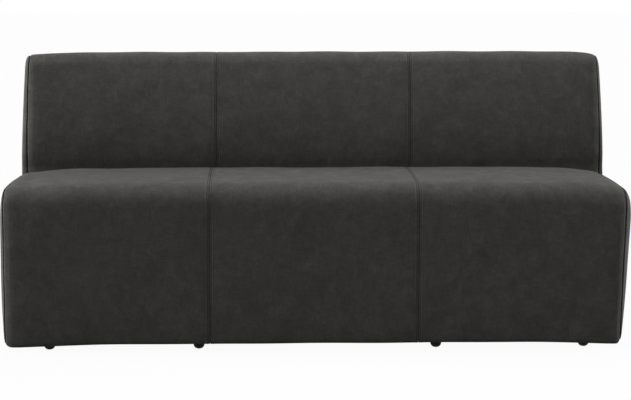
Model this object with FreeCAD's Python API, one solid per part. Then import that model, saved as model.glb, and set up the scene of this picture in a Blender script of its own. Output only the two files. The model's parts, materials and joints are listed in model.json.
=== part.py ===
import FreeCAD
import Part
import math
import os

# A three-place dining banquette: a padded seat unit and a padded back unit, bolted together, on eight
# levelling glides. Sizes are in mm. +X runs along the bench, the seat faces -Y, +Z is up, and the origin
# is on the floor under the middle of the bench.

# Overall sizes
WIDTH = 1800.0
DEPTH = 640.0
HEIGHT = 830.0
SEAT_HEIGHT = 485.0
BACK_DEPTH = 190.0
FLOOR_GAP = 24.0
BACK_FOOT = 162.0
BACK_LEAN = math.radians(10.0)

# Layers of the upholstery
COVER = 2.0
WADDING = 12.0
END_PAD = 30.0
SEAT_FOAM = 99.0
BACK_FOAM = 65.0
TOP_FOAM = 25.0
FELT = 4.0
WEBBING = 1.5
DUST_CLOTH = 1.0
LAYER_GAP = 0.3
FIT_GAP = 0.1

# Rounded forms of the padding
SEAT_FRONT_RADIUS = 60.0
SEAT_REAR_RADIUS = 25.0
SEAT_FRONT_FALL = 4.0
SEAT_REAR_FALL = 7.0
SEAT_CROWN = 25.0
SEAT_CROWN_REACH = 80.0
BACK_TOP_RADIUS = 40.0
BACK_REAR_RADIUS = 28.0
BACK_TOP_FALL = 8.0
BACK_CROWN = 10.0
BACK_CROWN_REACH = 60.0
KINK_RADIUS = 150.0
KINK_BELOW_SEAT = 30.0
HEM_RADIUS = 12.0
HEM_SAG = 9.0
HEM_SAG_REACH = 100.0
INNER_RADIUS = 3.0
LEAST_RADIUS = 1.0
END_ROUND = 18.0
MEETING_ROUND = 6.0
SEAT_END_TOP = 38.0
SEAT_END_FLAT = 136.0
BACK_NARROWER = 4.0
BACK_END_TAPER = 10.0
BACK_END_TAPER_START = 60.0
BACK_CORNER_RADIUS = 20.0
BACK_END_FOOT = 40.0
END_STEPS = 6
CROWN_SHARE = 0.4
CROWN_STATIONS = (45.0, 70.0, 110.0, 170.0, 260.0)

# Seams
SEAT_SIDE_SEAM = 13.0
BACK_SIDE_SEAM = 18.0
TOP_SEAM_SETBACK = 36.0
SEAM_DIP = 2.5
SEAM_ROLL = 10.0
HEM = 24.0
FLAP = 12.0

# Timber
BOARD = 18.0
RIB = 21.0
INNER_RIB_OUT = 60.0
RAIL = 45.0
THIN_RAIL = 22.0
JOINING_RAIL = 60.0
JOINING_RAIL_DOWN = 40.0
REAR_RAIL_SETBACK = 17.0
HARDBOARD = 3.0
RIB_CHAMFER = 9.0
BLOCK_LEG = 45.0
BLOCK_END = 20.0

# Springs and webbing
SPRING_WIRE = 3.8
SPRING_BAR = 36.0
SPRING_BARS = 19
SPRINGS_PER_BAY = 5
CLIP_SHEET = 1.2
CLIP_WIDTH = 18.0
CLIP_TAIL = 7.0
STRAP = 50.0
STRAPS_PER_BAY = 3

# Fastenings
THREAD = 8.0
NUT_FLANGE = 20.0
NUT_SHEET = 1.5
NUT_BARREL = 10.4
NUT_DEPTH = 11.0
BOLT_HEAD = 6.0
BOLT_FLATS = 13.0
BOLT_FLANGE = 18.0
BOLT_SPARE = 5.0
BOLTS = 6
SCREW = 4.5
SCREW_HEAD = 9.0
SCREW_LENGTH = 55.0
SCREWS_PER_CORNER = 3

# Glides
GLIDE = 32.0
GLIDE_FLAT = 12.0
GLIDE_DOME = 13.0
GLIDE_COLLAR = 7.0
COLLAR_FLATS = 24.0
STUD_HELD = 12.0
STUD_SHOWN = 32.0
STUD_HOLE = 36.0
STUD_CHAMFER = 1.0
GLIDE_CLEARANCE = 4.0
GLIDE_END_SETBACK = 127.0
INNER_GLIDE_OUT = 43.0

# Planes that the sizes above set
HALF = WIDTH / 2
FRONT_Y = -DEPTH / 2
REAR_TOP_Y = DEPTH / 2
JOINT_Y = REAR_TOP_Y - BACK_DEPTH
SEAT_REAR_Y = JOINT_Y - LAYER_GAP
BACK_FRONT_Y = JOINT_Y + LAYER_GAP
REAR_FOOT_Y = JOINT_Y + BACK_FOOT
REAR_SLOPE = (REAR_TOP_Y - REAR_FOOT_Y) / (HEIGHT - FLOOR_GAP)
KINK_Z = SEAT_HEIGHT - KINK_BELOW_SEAT
PANEL_SEAM_X = WIDTH / 6
INNER_RIB_X = PANEL_SEAM_X + INNER_RIB_OUT
INNER_GLIDE_X = PANEL_SEAM_X + INNER_GLIDE_OUT
BACK_HALF = HALF - BACK_NARROWER
SEAT_SEAM_X = HALF - SEAT_SIDE_SEAM
BACK_SEAM_X = BACK_HALF - BACK_SIDE_SEAM
UNDER_COVER = COVER + LAYER_GAP
UNDER_WADDING = UNDER_COVER + WADDING + LAYER_GAP
FRAME_END = HALF - UNDER_COVER - END_PAD - LAYER_GAP
FRAME_FRONT_Y = FRONT_Y + UNDER_WADDING
FRAME_BOTTOM = FLOOR_GAP + UNDER_COVER
CLIP_SLOT = SPRING_WIRE + 2 * LAYER_GAP
CLIP_HEIGHT = CLIP_SLOT + 2 * CLIP_SHEET
FOAM_BOTTOM = SEAT_HEIGHT - UNDER_WADDING - SEAT_FOAM
FELT_BOTTOM = FOAM_BOTTOM - LAYER_GAP - FELT
RAIL_TOP = FELT_BOTTOM - LAYER_GAP - CLIP_HEIGHT
FLAP_Z = RAIL_TOP + FLAP
BOARD_BACK_Y = FRAME_FRONT_Y + BOARD
REAR_BOARD_Y = JOINT_Y - BOARD
BACK_RAIL_TOP = HEIGHT - UNDER_WADDING - TOP_FOAM - LAYER_GAP
GLIDE_TOP = FRAME_BOTTOM - LAYER_GAP
FRONT_RAIL_Y = BOARD_BACK_Y + RAIL / 2
REAR_RAIL_Y = REAR_FOOT_Y - UNDER_COVER - HARDBOARD - REAR_RAIL_SETBACK - RAIL / 2
OUTER_GLIDE_X = HALF - GLIDE_END_SETBACK
JOINING_TOP = RAIL_TOP - JOINING_RAIL_DOWN
JOINING_Z = JOINING_TOP - JOINING_RAIL / 2

GLIDES = {
    "front_outer_left": (-OUTER_GLIDE_X, FRONT_RAIL_Y),
    "front_inner_left": (-INNER_GLIDE_X, FRONT_RAIL_Y),
    "front_inner_right": (INNER_GLIDE_X, FRONT_RAIL_Y),
    "front_outer_right": (OUTER_GLIDE_X, FRONT_RAIL_Y),
    "rear_outer_left": (-OUTER_GLIDE_X, REAR_RAIL_Y),
    "rear_inner_left": (-INNER_GLIDE_X, REAR_RAIL_Y),
    "rear_inner_right": (INNER_GLIDE_X, REAR_RAIL_Y),
    "rear_outer_right": (OUTER_GLIDE_X, REAR_RAIL_Y),
}


def box(x0, x1, y0, y1, z0, z1):
    return Part.makeBox(x1 - x0, y1 - y0, z1 - z0, FreeCAD.Vector(x0, y0, z0))


def prism(points, x0, x1):
    """A polygon of (y, z) points drawn out along x."""
    corners = [FreeCAD.Vector(x0, y, z) for y, z in points]
    face = Part.Face(Part.makePolygon(corners + corners[:1]))
    return face.extrude(FreeCAD.Vector(x1 - x0, 0, 0))


def hexagon(flats, height):
    radius = flats / math.sqrt(3)
    turns = [math.radians(60 * i) for i in range(7)]
    corners = [FreeCAD.Vector(radius * math.cos(a), radius * math.sin(a), 0) for a in turns]
    return Part.Face(Part.makePolygon(corners)).extrude(FreeCAD.Vector(0, 0, height))


def aimed(shape, position, axis):
    """A shape drawn along +z, turned to an axis and set at a position."""
    turn = FreeCAD.Rotation(FreeCAD.Vector(0, 0, 1), FreeCAD.Vector(*axis))
    placed = shape.copy()
    placed.Placement = FreeCAD.Placement(FreeCAD.Vector(*position), turn)
    return placed


def direction(start, end):
    length = math.hypot(end[0] - start[0], end[1] - start[1])
    return (end[0] - start[0]) / length, (end[1] - start[1]) / length


def shifted(outline, distance, closed):
    """An outline of (y, z, radius) corners moved to the right of its travel; the corner radii follow."""
    last = len(outline) - 1
    moved = []
    for i, (y, z, radius) in enumerate(outline):
        ways = []
        if closed or i > 0:
            ways.append(direction(outline[i - 1], outline[i]))
        if closed or i < last:
            ways.append(direction(outline[i], outline[(i + 1) % (last + 1)]))
        normals = [(dz, -dy) for dy, dz in ways]
        across = sum(n[0] for n in normals), sum(n[1] for n in normals)
        share = distance * len(normals) / (across[0] ** 2 + across[1] ** 2)
        moved.append((y + across[0] * share, z + across[1] * share, max(radius - distance, LEAST_RADIUS)))
    return moved


def outline_edges(outline, x, closed):
    """The straight runs and tangent corner arcs of an outline, in the plane at x."""
    last = len(outline) - 1
    stops = []
    for i, (y, z, radius) in enumerate(outline):
        if not closed and i in (0, last):
            stops.append([FreeCAD.Vector(x, y, z)])
            continue
        before = direction(outline[i - 1], outline[i])
        after = direction(outline[i], outline[(i + 1) % (last + 1)])
        half_turn = math.acos(before[0] * after[0] + before[1] * after[1]) / 2
        reach = radius * math.tan(half_turn)
        bend = direction(before, after)
        rise = radius * (1 / math.cos(half_turn) - 1)
        stops.append([
            FreeCAD.Vector(x, y - before[0] * reach, z - before[1] * reach),
            FreeCAD.Vector(x, y + bend[0] * rise, z + bend[1] * rise),
            FreeCAD.Vector(x, y + after[0] * reach, z + after[1] * reach),
        ])
    edges = []
    for i, stop in enumerate(stops):
        if len(stop) == 3:
            edges.append(Part.Arc(*stop).toShape())
        if closed or i < last:
            edges.append(Part.makeLine(stop[-1], stops[(i + 1) % (last + 1)][0]))
    return edges


def full_wire(outline, inset, x):
    return Part.Wire(outline_edges(shifted(outline, inset, True), x, True))


def band_wire(outer_path, inner_path, x):
    """The closed edge of a layer that lies between two open paths."""
    outer = outline_edges(outer_path, x, False)
    inner = outline_edges(inner_path[::-1], x, False)
    outer_ends = outer[0].Vertexes[0].Point, outer[-1].Vertexes[-1].Point
    inner_ends = inner[0].Vertexes[0].Point, inner[-1].Vertexes[-1].Point
    turn = Part.makeLine(outer_ends[1], inner_ends[0])
    close = Part.makeLine(inner_ends[1], outer_ends[0])
    return Part.Wire(outer + [turn] + inner + [close])


def loft(wires):
    return Part.makeLoft(wires, True, True)


def crown_drop(x, amount, reach):
    return amount * math.exp((abs(x) - HALF) / reach)


def back_corner_fall(x):
    """How far the back's rounded top corners and tapered sides bring its top down at x."""
    corner = BACK_HALF - BACK_END_TAPER
    into = abs(x) - (corner - BACK_CORNER_RADIUS)
    if into <= 0:
        return 0.0
    if abs(x) <= corner:
        return BACK_CORNER_RADIUS - math.sqrt(BACK_CORNER_RADIUS ** 2 - into ** 2)
    full = HEIGHT - KINK_Z - BACK_END_TAPER_START
    return BACK_CORNER_RADIUS + (full - BACK_CORNER_RADIUS) * (abs(x) - corner) / BACK_END_TAPER


def rear_y(z):
    return REAR_FOOT_Y + (z - FLOOR_GAP) * REAR_SLOPE


def frame_rear_y(z):
    return rear_y(z) - UNDER_COVER - HARDBOARD - LAYER_GAP


def deck_y(z, forward=0.0):
    """The leaning plane that carries the back's webbing, or a plane in front of it."""
    build = UNDER_WADDING + BACK_FOAM + LAYER_GAP + WEBBING + FIT_GAP - forward
    return BACK_FRONT_Y + (z - KINK_Z) * math.tan(BACK_LEAN) + build / math.cos(BACK_LEAN)


def seat_outline(x, dip=0.0, end=0.0):
    """The seat's side view at x, from the lower rear corner.

    A seam draws its front and top in by dip; end goes from 0 to 1 over a rounded end.
    """
    top = SEAT_HEIGHT - crown_drop(x, SEAT_CROWN, SEAT_CROWN_REACH) - SEAT_END_TOP * end - dip
    end_bottom = SEAT_HEIGHT - SEAT_CROWN - SEAT_END_TOP - SEAT_END_FLAT
    hem = FLOOR_GAP - crown_drop(x, HEM_SAG, HEM_SAG_REACH)
    bottom = hem + (end_bottom - hem) * end
    front = FRONT_Y + END_ROUND * end + dip
    rear = SEAT_REAR_Y - MEETING_ROUND * end
    half_run = (rear - front) / 2
    crown_turn = math.atan(SEAT_FRONT_FALL / half_run) + math.atan(SEAT_REAR_FALL / half_run)
    crown_radius = CROWN_SHARE * half_run / math.tan(crown_turn / 2)
    return [
        (rear, bottom, INNER_RADIUS),
        (front, bottom, HEM_RADIUS),
        (front, top - SEAT_FRONT_FALL, SEAT_FRONT_RADIUS),
        (front + half_run, top, crown_radius),
        (rear, top - SEAT_REAR_FALL, SEAT_REAR_RADIUS),
    ]


def seat_path(x, dip):
    """The run of the seat cover at x, from the hem under the front board to the flap behind the foam."""
    rear, hem, front, crown, back = seat_outline(x, dip)
    return [(FRONT_Y + HEM, hem[1], 0), hem, front, crown, back, (rear[0], FLAP_Z, 0)]


def seat_wadding_path(x, dip):
    rear, hem, front, crown, back = seat_outline(x, dip)
    return [(hem[0], hem[1] + HEM_RADIUS + COVER, 0), front, crown, back, (rear[0], FLAP_Z, 0)]


def back_outline(x, dip=0.0, end=0.0):
    """The back's side view at x, from the lower rear corner.

    A seam draws its front, top and rear in by dip; end goes from 0 to 1 over a rounded end.
    """
    top = HEIGHT - crown_drop(x, BACK_CROWN, BACK_CROWN_REACH) - back_corner_fall(x) - dip
    bottom = FLOOR_GAP + BACK_END_FOOT * end
    front = BACK_FRONT_Y + MEETING_ROUND * end + dip
    lean_front = front + (END_ROUND - MEETING_ROUND) * end + (top - KINK_Z) * math.tan(BACK_LEAN)
    set_in = END_ROUND * end + dip
    return [
        (rear_y(bottom) - set_in, bottom, HEM_RADIUS),
        (front, bottom, INNER_RADIUS),
        (front, KINK_Z, KINK_RADIUS),
        (lean_front, top, BACK_TOP_RADIUS),
        (rear_y(top - BACK_TOP_FALL) - set_in, top - BACK_TOP_FALL, BACK_REAR_RADIUS),
    ]


def top_seam(outline):
    """The point on the back's top where the front panels meet the rear panel."""
    front, rear = outline[3], outline[4]
    way = direction(rear, front)
    return rear[0] + way[0] * TOP_SEAM_SETBACK, rear[1] + way[1] * TOP_SEAM_SETBACK, 0


def back_path(x, dip):
    outline = back_outline(x, dip)
    return [(outline[1][0], FLAP_Z, 0), outline[2], outline[3], top_seam(outline)]


def rear_path(x, dip):
    outline = back_outline(x, dip)
    foot = outline[0]
    return [top_seam(outline), outline[4], foot, (REAR_FOOT_Y - HEM, foot[1], 0)]


def panel_stations(start, stop):
    """Places along x from one seam to the next, each with how far the layer is drawn in there."""
    inner = (start + SEAM_ROLL, stop - SEAM_ROLL)
    crowns = [side * (HALF - d) for side in (-1, 1) for d in CROWN_STATIONS] + [0.0]
    between = sorted(x for x in crowns if inner[0] + SEAM_ROLL < x < inner[1] - SEAM_ROLL)
    rounded = [(x, 0.0) for x in (inner[0], *between, inner[1])]
    return [(start, SEAM_DIP), *rounded, (stop, SEAM_DIP)]


def wrap_stations():
    """Places along x for a layer that lies under all three panels."""
    seams = (-FRAME_END, -PANEL_SEAM_X, PANEL_SEAM_X, FRAME_END)
    stations = [(-FRAME_END, SEAM_DIP)]
    for start, stop in zip(seams, seams[1:]):
        stations += panel_stations(start, stop)[1:]
    return stations


def cover_panel(path, stations):
    """A panel of cover; at a seam its whole thickness is drawn in."""
    wires = []
    for x, dip in stations:
        outer = path(x, dip)
        wires.append(band_wire(outer, shifted(outer, COVER, False), x))
    return loft(wires)


def wadding_wrap(path):
    """A wrap of wadding from end to end; at a seam it is squeezed from outside."""
    wires = []
    for x, dip in wrap_stations():
        outer = shifted(path(x, dip), UNDER_COVER, False)
        inner = shifted(path(x, 0.0), UNDER_COVER + WADDING, False)
        wires.append(band_wire(outer, inner, x))
    return loft(wires)


def core(outline):
    """The whole block inside the wadding, from end to end of the frame."""
    places = [station[0] for station in wrap_stations()]
    return loft([full_wire(outline(x), UNDER_WADDING, x) for x in places])


def end_wires(outline, seam_x, end_x, depth, start_x, side):
    """Sections from start_x out over a rounded end, at a depth under the outer surface."""
    wires = [full_wire(outline(start_x, SEAM_DIP), depth, side * start_x)]
    for i in range(END_STEPS + 1):
        angle = math.pi / 2 * i / END_STEPS
        outer_x = seam_x + (end_x - seam_x) * math.sin(angle)
        section = outline(outer_x, SEAM_DIP, 1 - math.cos(angle))
        wires.append(full_wire(section, depth * math.cos(angle), side * (outer_x - depth * math.sin(angle))))
    return wires


def side_cover(outline, seam_x, end_x, side):
    """The cap of cover over one end, from its side seam outwards."""
    outside = loft(end_wires(outline, seam_x, end_x, 0.0, seam_x, side)[1:])
    inside = loft(end_wires(outline, seam_x, end_x, COVER, seam_x - SEAM_ROLL / 2, side))
    return outside.cut(inside)


def end_pad(outline, seam_x, end_x, side):
    return loft(end_wires(outline, seam_x, end_x, UNDER_COVER, FRAME_END + LAYER_GAP, side))


def seat_cover(start, stop):
    return cover_panel(seat_path, panel_stations(start, stop))


def back_cover(start, stop):
    return cover_panel(back_path, panel_stations(start, stop))


def rear_cover():
    return cover_panel(rear_path, panel_stations(-BACK_SEAM_X, BACK_SEAM_X))


def seat_foam():
    return core(seat_outline).cut(box(-WIDTH, WIDTH, -DEPTH, DEPTH, 0, FOAM_BOTTOM))


def back_foam():
    """Foam in front of the webbing and over the top rail."""
    face = WEBBING + FIT_GAP + LAYER_GAP
    low = FLAP_Z + LAYER_GAP
    high = BACK_RAIL_TOP + LAYER_GAP
    taken = [
        (-DEPTH, 0), (-DEPTH, low), (deck_y(low, face), low),
        (deck_y(high, face), high), (DEPTH, high), (DEPTH, 0),
    ]
    return core(back_outline).cut(prism(taken, -WIDTH, WIDTH))


def spring_felt():
    rear = SEAT_REAR_Y - UNDER_WADDING
    return box(-FRAME_END, FRAME_END, FRAME_FRONT_Y, rear, FELT_BOTTOM, FELT_BOTTOM + FELT)


def tee_nut():
    """A tee nut along +z, its flange's outer face at z = 0."""
    flange = Part.makeCylinder(NUT_FLANGE / 2, NUT_SHEET)
    barrel = Part.makeCylinder(NUT_BARREL / 2, NUT_SHEET + NUT_DEPTH)
    bore = Part.makeCylinder(THREAD / 2 + FIT_GAP, NUT_SHEET + NUT_DEPTH)
    return flange.fuse(barrel).cut(bore).removeSplitter()


def tee_nut_hole(depth):
    flange = Part.makeCylinder(NUT_FLANGE / 2 + FIT_GAP, NUT_SHEET + FIT_GAP)
    barrel = Part.makeCylinder(NUT_BARREL / 2 + FIT_GAP, NUT_SHEET + NUT_DEPTH + FIT_GAP)
    shank = Part.makeCylinder(THREAD / 2 + LAYER_GAP, depth)
    return flange.fuse(barrel).fuse(shank)


def foot_nut_places():
    return [((x, y, FRAME_BOTTOM), (0, 0, 1)) for x, y in GLIDES.values()]


def bolt_xs():
    """The bolts stand evenly along the bench, the same number on each side of its middle."""
    return [side * WIDTH * (i + 0.5) / BOLTS for side in (-1, 1) for i in range(BOLTS // 2)]


def joining_nut_places():
    return [((x, JOINT_Y + THIN_RAIL, JOINING_Z), (0, -1, 0)) for x in bolt_xs()]


def tee_nuts():
    return Part.makeCompound([aimed(tee_nut(), *p) for p in foot_nut_places() + joining_nut_places()])


def joining_bolts():
    """Flanged hex bolts from inside the seat box into the back unit."""
    length = BOARD + THIN_RAIL + BOLT_SPARE
    head = hexagon(BOLT_FLATS, BOLT_HEAD)
    head.translate(FreeCAD.Vector(0, 0, -BOLT_HEAD - NUT_SHEET))
    flange = Part.makeCylinder(BOLT_FLANGE / 2, NUT_SHEET, FreeCAD.Vector(0, 0, -NUT_SHEET))
    bolt = head.fuse(flange).fuse(Part.makeCylinder(THREAD / 2, length)).removeSplitter()
    places = [(x, REAR_BOARD_Y, JOINING_Z) for x in bolt_xs()]
    return Part.makeCompound([aimed(bolt, place, (0, 1, 0)) for place in places])


def countersunk_screw(gap):
    """A wood screw along +z, its head flush at z = 0."""
    slope = (SCREW_HEAD - SCREW) / 2
    head = Part.makeCone(SCREW_HEAD / 2 + gap, SCREW / 2 + gap, slope)
    shank = Part.makeCylinder(SCREW / 2 + gap, SCREW_LENGTH + gap)
    return head.fuse(shank).removeSplitter()


def screw_places():
    """Screws through the front and rear boards into the ends of the end boards."""
    low, high = FRAME_BOTTOM + RAIL, RAIL_TOP - RAIL
    heights = [low + (high - low) * i / (SCREWS_PER_CORNER - 1) for i in range(SCREWS_PER_CORNER)]
    places = []
    for x in (-FRAME_END + BOARD / 2, FRAME_END - BOARD / 2):
        for z in heights:
            places.append(((x, FRAME_FRONT_Y, z), (0, 1, 0)))
            places.append(((x, JOINT_Y, z), (0, -1, 0)))
    return places


def frame_screws():
    return Part.makeCompound([aimed(countersunk_screw(0.0), *place) for place in screw_places()])


def drilled(board):
    for place in screw_places():
        board = board.cut(aimed(countersunk_screw(FIT_GAP), *place))
    return board


def seat_front_board():
    return drilled(box(-FRAME_END, FRAME_END, FRAME_FRONT_Y, BOARD_BACK_Y, FRAME_BOTTOM, RAIL_TOP))


def seat_rear_board():
    board = drilled(box(-FRAME_END, FRAME_END, REAR_BOARD_Y, JOINT_Y, FRAME_BOTTOM, RAIL_TOP))
    hole = Part.makeCylinder(THREAD / 2 + LAYER_GAP, BOARD)
    for place, axis in joining_nut_places():
        board = board.cut(aimed(hole, (place[0], JOINT_Y, place[2]), axis))
    return board


def seat_end_board(side):
    x0, x1 = sorted((side * FRAME_END, side * (FRAME_END - BOARD)))
    return drilled(box(x0, x1, BOARD_BACK_Y, REAR_BOARD_Y, FRAME_BOTTOM, RAIL_TOP))


def seat_divider(side):
    """A cross board under a panel seam, notched over the front base rail."""
    middle = side * PANEL_SEAM_X
    board = box(middle - BOARD / 2, middle + BOARD / 2, BOARD_BACK_Y, REAR_BOARD_Y, FRAME_BOTTOM, RAIL_TOP)
    notch = box(-WIDTH, WIDTH, BOARD_BACK_Y, BOARD_BACK_Y + RAIL, FRAME_BOTTOM, FRAME_BOTTOM + RAIL)
    return board.cut(notch)


def seat_corner_blocks():
    """Triangular glue blocks in the four corners of the seat box."""
    blocks = []
    inner_x = FRAME_END - BOARD
    low, high = FRAME_BOTTOM + RAIL + BLOCK_END, RAIL_TOP - BLOCK_END
    for side in (-1, 1):
        for y, way in ((BOARD_BACK_Y, 1), (REAR_BOARD_Y, -1)):
            corner = FreeCAD.Vector(side * inner_x, y, low)
            along_x = corner + FreeCAD.Vector(-side * BLOCK_LEG, 0, 0)
            along_y = corner + FreeCAD.Vector(0, way * BLOCK_LEG, 0)
            face = Part.Face(Part.makePolygon([corner, along_x, along_y, corner]))
            blocks.append(face.extrude(FreeCAD.Vector(0, 0, high - low)))
    return Part.makeCompound(blocks)


def bored_for_glides(rail, y):
    for place, axis in foot_nut_places():
        if place[1] == y:
            rail = rail.cut(aimed(tee_nut_hole(STUD_HOLE), place, axis))
    return rail


def front_base_rail():
    end = FRAME_END - BOARD
    rail = box(-end, end, BOARD_BACK_Y, BOARD_BACK_Y + RAIL, FRAME_BOTTOM, FRAME_BOTTOM + RAIL)
    return bored_for_glides(rail, FRONT_RAIL_Y)


def rear_base_rail_blank():
    y0 = REAR_RAIL_Y - RAIL / 2
    return box(-FRAME_END, FRAME_END, y0, y0 + RAIL, FRAME_BOTTOM, FRAME_BOTTOM + RAIL)


def rear_base_rail():
    return bored_for_glides(rear_base_rail_blank(), REAR_RAIL_Y)


def joining_rail_blank():
    low = JOINING_TOP - JOINING_RAIL
    return box(-FRAME_END, FRAME_END, JOINT_Y, JOINT_Y + THIN_RAIL, low, JOINING_TOP)


def joining_rail():
    rail = joining_rail_blank()
    for place, axis in joining_nut_places():
        rail = rail.cut(aimed(tee_nut_hole(THIN_RAIL), place, axis))
    return rail


def tacking_rail():
    """The lower webbing rail, its face on the leaning deck plane."""
    low, high = FLAP_Z, FLAP_Z + RAIL
    section = [
        (deck_y(low), low), (deck_y(high), high),
        (deck_y(high) + THIN_RAIL, high), (deck_y(low) + THIN_RAIL, low),
    ]
    return prism(section, -FRAME_END, FRAME_END)


def back_top_rail():
    low, high = BACK_RAIL_TOP - RAIL, BACK_RAIL_TOP
    section = [(deck_y(low), low), (deck_y(high), high), (frame_rear_y(high), high), (frame_rear_y(low), low)]
    return prism(section, -FRAME_END, FRAME_END)


def back_rib(x):
    """An upright cut from plywood, notched for the rails that cross it."""
    high = BACK_RAIL_TOP - RAIL
    foot = FRAME_BOTTOM + RIB_CHAMFER
    section = [
        (JOINT_Y, FRAME_BOTTOM), (JOINT_Y, RAIL_TOP), (deck_y(RAIL_TOP), RAIL_TOP),
        (deck_y(high), high), (frame_rear_y(high), high), (frame_rear_y(foot), foot),
        (frame_rear_y(FRAME_BOTTOM) - RIB_CHAMFER, FRAME_BOTTOM),
    ]
    rib = prism(section, x - RIB / 2, x + RIB / 2)
    for rail in (rear_base_rail_blank(), joining_rail_blank(), tacking_rail()):
        rib = rib.cut(rail)
    return rib


def back_webbing():
    """Upright elastic straps from the tacking rail to the top rail."""
    low, high = FLAP_Z + LAYER_GAP, BACK_RAIL_TOP - LAYER_GAP
    near, far = FIT_GAP, FIT_GAP + WEBBING
    section = [
        (deck_y(low, near), low), (deck_y(high, near), high),
        (deck_y(high, far), high), (deck_y(low, far), low),
    ]
    bays = [-FRAME_END, -INNER_RIB_X, INNER_RIB_X, FRAME_END]
    straps = []
    for start, stop in zip(bays, bays[1:]):
        for i in range(STRAPS_PER_BAY):
            x = start + (stop - start) * (i + 0.5) / STRAPS_PER_BAY
            straps.append(prism(section, x - STRAP / 2, x + STRAP / 2))
    return Part.makeCompound(straps)


def back_hardboard():
    """The thin panel behind the ribs and the top rail."""
    low, high = FRAME_BOTTOM + HEM_RADIUS, BACK_RAIL_TOP
    section = [
        (frame_rear_y(low), low), (frame_rear_y(high), high),
        (frame_rear_y(high) + HARDBOARD, high), (frame_rear_y(low) + HARDBOARD, low),
    ]
    return prism(section, -FRAME_END, FRAME_END)


def spring_places():
    bays = [-FRAME_END + BOARD, -PANEL_SEAM_X, PANEL_SEAM_X, FRAME_END - BOARD]
    places = []
    for start, stop in zip(bays, bays[1:]):
        places += [start + (stop - start) * (i + 0.5) / SPRINGS_PER_BAY for i in range(SPRINGS_PER_BAY)]
    return places


def spring_ends():
    return FRAME_FRONT_Y + BOARD / 2, REAR_BOARD_Y + BOARD / 2


def zigzag_spring(x):
    front, rear = spring_ends()
    pitch = (rear - front) / (SPRING_BARS - 1)
    z = RAIL_TOP + CLIP_HEIGHT / 2
    edges = []
    way = 1
    for i in range(SPRING_BARS):
        y = front + pitch * i
        start = FreeCAD.Vector(x - way * SPRING_BAR / 2, y, z)
        stop = FreeCAD.Vector(x + way * SPRING_BAR / 2, y, z)
        edges.append(Part.makeLine(start, stop))
        if i < SPRING_BARS - 1:
            tip = stop + FreeCAD.Vector(way * pitch / 2, pitch / 2, 0)
            edges.append(Part.Arc(stop, tip, stop + FreeCAD.Vector(0, pitch, 0)).toShape())
        way = -way
    begin = FreeCAD.Vector(x - SPRING_BAR / 2, front, z)
    ring = Part.Wire([Part.makeCircle(SPRING_WIRE / 2, begin, FreeCAD.Vector(1, 0, 0))])
    return Part.Wire(edges).makePipeShell([ring], True, False)


def seat_springs():
    return Part.makeCompound([zigzag_spring(x) for x in spring_places()])


def spring_clip(x, y, inward):
    """A folded clip on a board's top edge, open to the outside of the seat box."""
    ends = sorted((y - inward * CLIP_TAIL, y + inward * (CLIP_SLOT / 2 + CLIP_SHEET)))
    slot = sorted((y - inward * CLIP_TAIL, y + inward * CLIP_SLOT / 2))
    x0, x1 = x - CLIP_WIDTH / 2, x + CLIP_WIDTH / 2
    body = box(x0, x1, *ends, RAIL_TOP, RAIL_TOP + CLIP_HEIGHT)
    return body.cut(box(x0, x1, *slot, RAIL_TOP + CLIP_SHEET, RAIL_TOP + CLIP_SHEET + CLIP_SLOT))


def spring_clips():
    front, rear = spring_ends()
    pairs = [(spring_clip(x, front, 1), spring_clip(x, rear, -1)) for x in spring_places()]
    return Part.makeCompound([clip for pair in pairs for clip in pair])


def dust_cloth():
    """The cloth stapled under both units, between the hems, cut out round the glides."""
    top = FRAME_BOTTOM - LAYER_GAP
    front, rear = FRONT_Y + HEM + LAYER_GAP, REAR_FOOT_Y - HEM - LAYER_GAP
    sheet = box(-FRAME_END, FRAME_END, front, rear, top - DUST_CLOTH, top)
    opening = Part.makeCylinder(GLIDE / 2 + GLIDE_CLEARANCE, FRAME_BOTTOM)
    for x, y in GLIDES.values():
        sheet = sheet.cut(aimed(opening, (x, y, 0), (0, 0, 1)))
    return sheet


def glide(x, y):
    """A domed foot with a hex collar and a blind hole for its stud."""
    radius, flat = GLIDE / 2, GLIDE_FLAT / 2
    step = radius - flat
    arc_radius = (step ** 2 + GLIDE_DOME ** 2) / (2 * step)
    centre = radius - arc_radius
    low = math.asin(GLIDE_DOME / arc_radius) / 2
    shoulder = GLIDE_TOP - GLIDE_COLLAR
    mid = FreeCAD.Vector(centre + arc_radius * math.cos(low), 0, GLIDE_DOME - arc_radius * math.sin(low))
    rim = FreeCAD.Vector(radius, 0, GLIDE_DOME)
    edges = [
        Part.makeLine(FreeCAD.Vector(0, 0, 0), FreeCAD.Vector(flat, 0, 0)),
        Part.Arc(FreeCAD.Vector(flat, 0, 0), mid, rim).toShape(),
        Part.makeLine(rim, FreeCAD.Vector(radius, 0, shoulder)),
        Part.makeLine(FreeCAD.Vector(radius, 0, shoulder), FreeCAD.Vector(0, 0, shoulder)),
        Part.makeLine(FreeCAD.Vector(0, 0, shoulder), FreeCAD.Vector(0, 0, 0)),
    ]
    dome = Part.Face(Part.Wire(edges)).revolve(FreeCAD.Vector(0, 0, 0), FreeCAD.Vector(0, 0, 1), 360)
    collar = hexagon(COLLAR_FLATS, GLIDE_COLLAR)
    collar.translate(FreeCAD.Vector(0, 0, shoulder))
    hole = Part.makeCylinder(THREAD / 2, STUD_HELD, FreeCAD.Vector(0, 0, GLIDE_TOP - STUD_HELD))
    return aimed(dome.fuse(collar).cut(hole), (x, y, 0), (0, 0, 1))


def stud(x, y):
    foot = FreeCAD.Vector(x, y, GLIDE_TOP - STUD_HELD)
    rod = Part.makeCylinder(THREAD / 2, STUD_HELD + STUD_SHOWN, foot)
    top_edge = max(rod.Edges, key=lambda edge: edge.BoundBox.ZMin)
    return rod.makeChamfer(STUD_CHAMFER, [top_edge])


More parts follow.
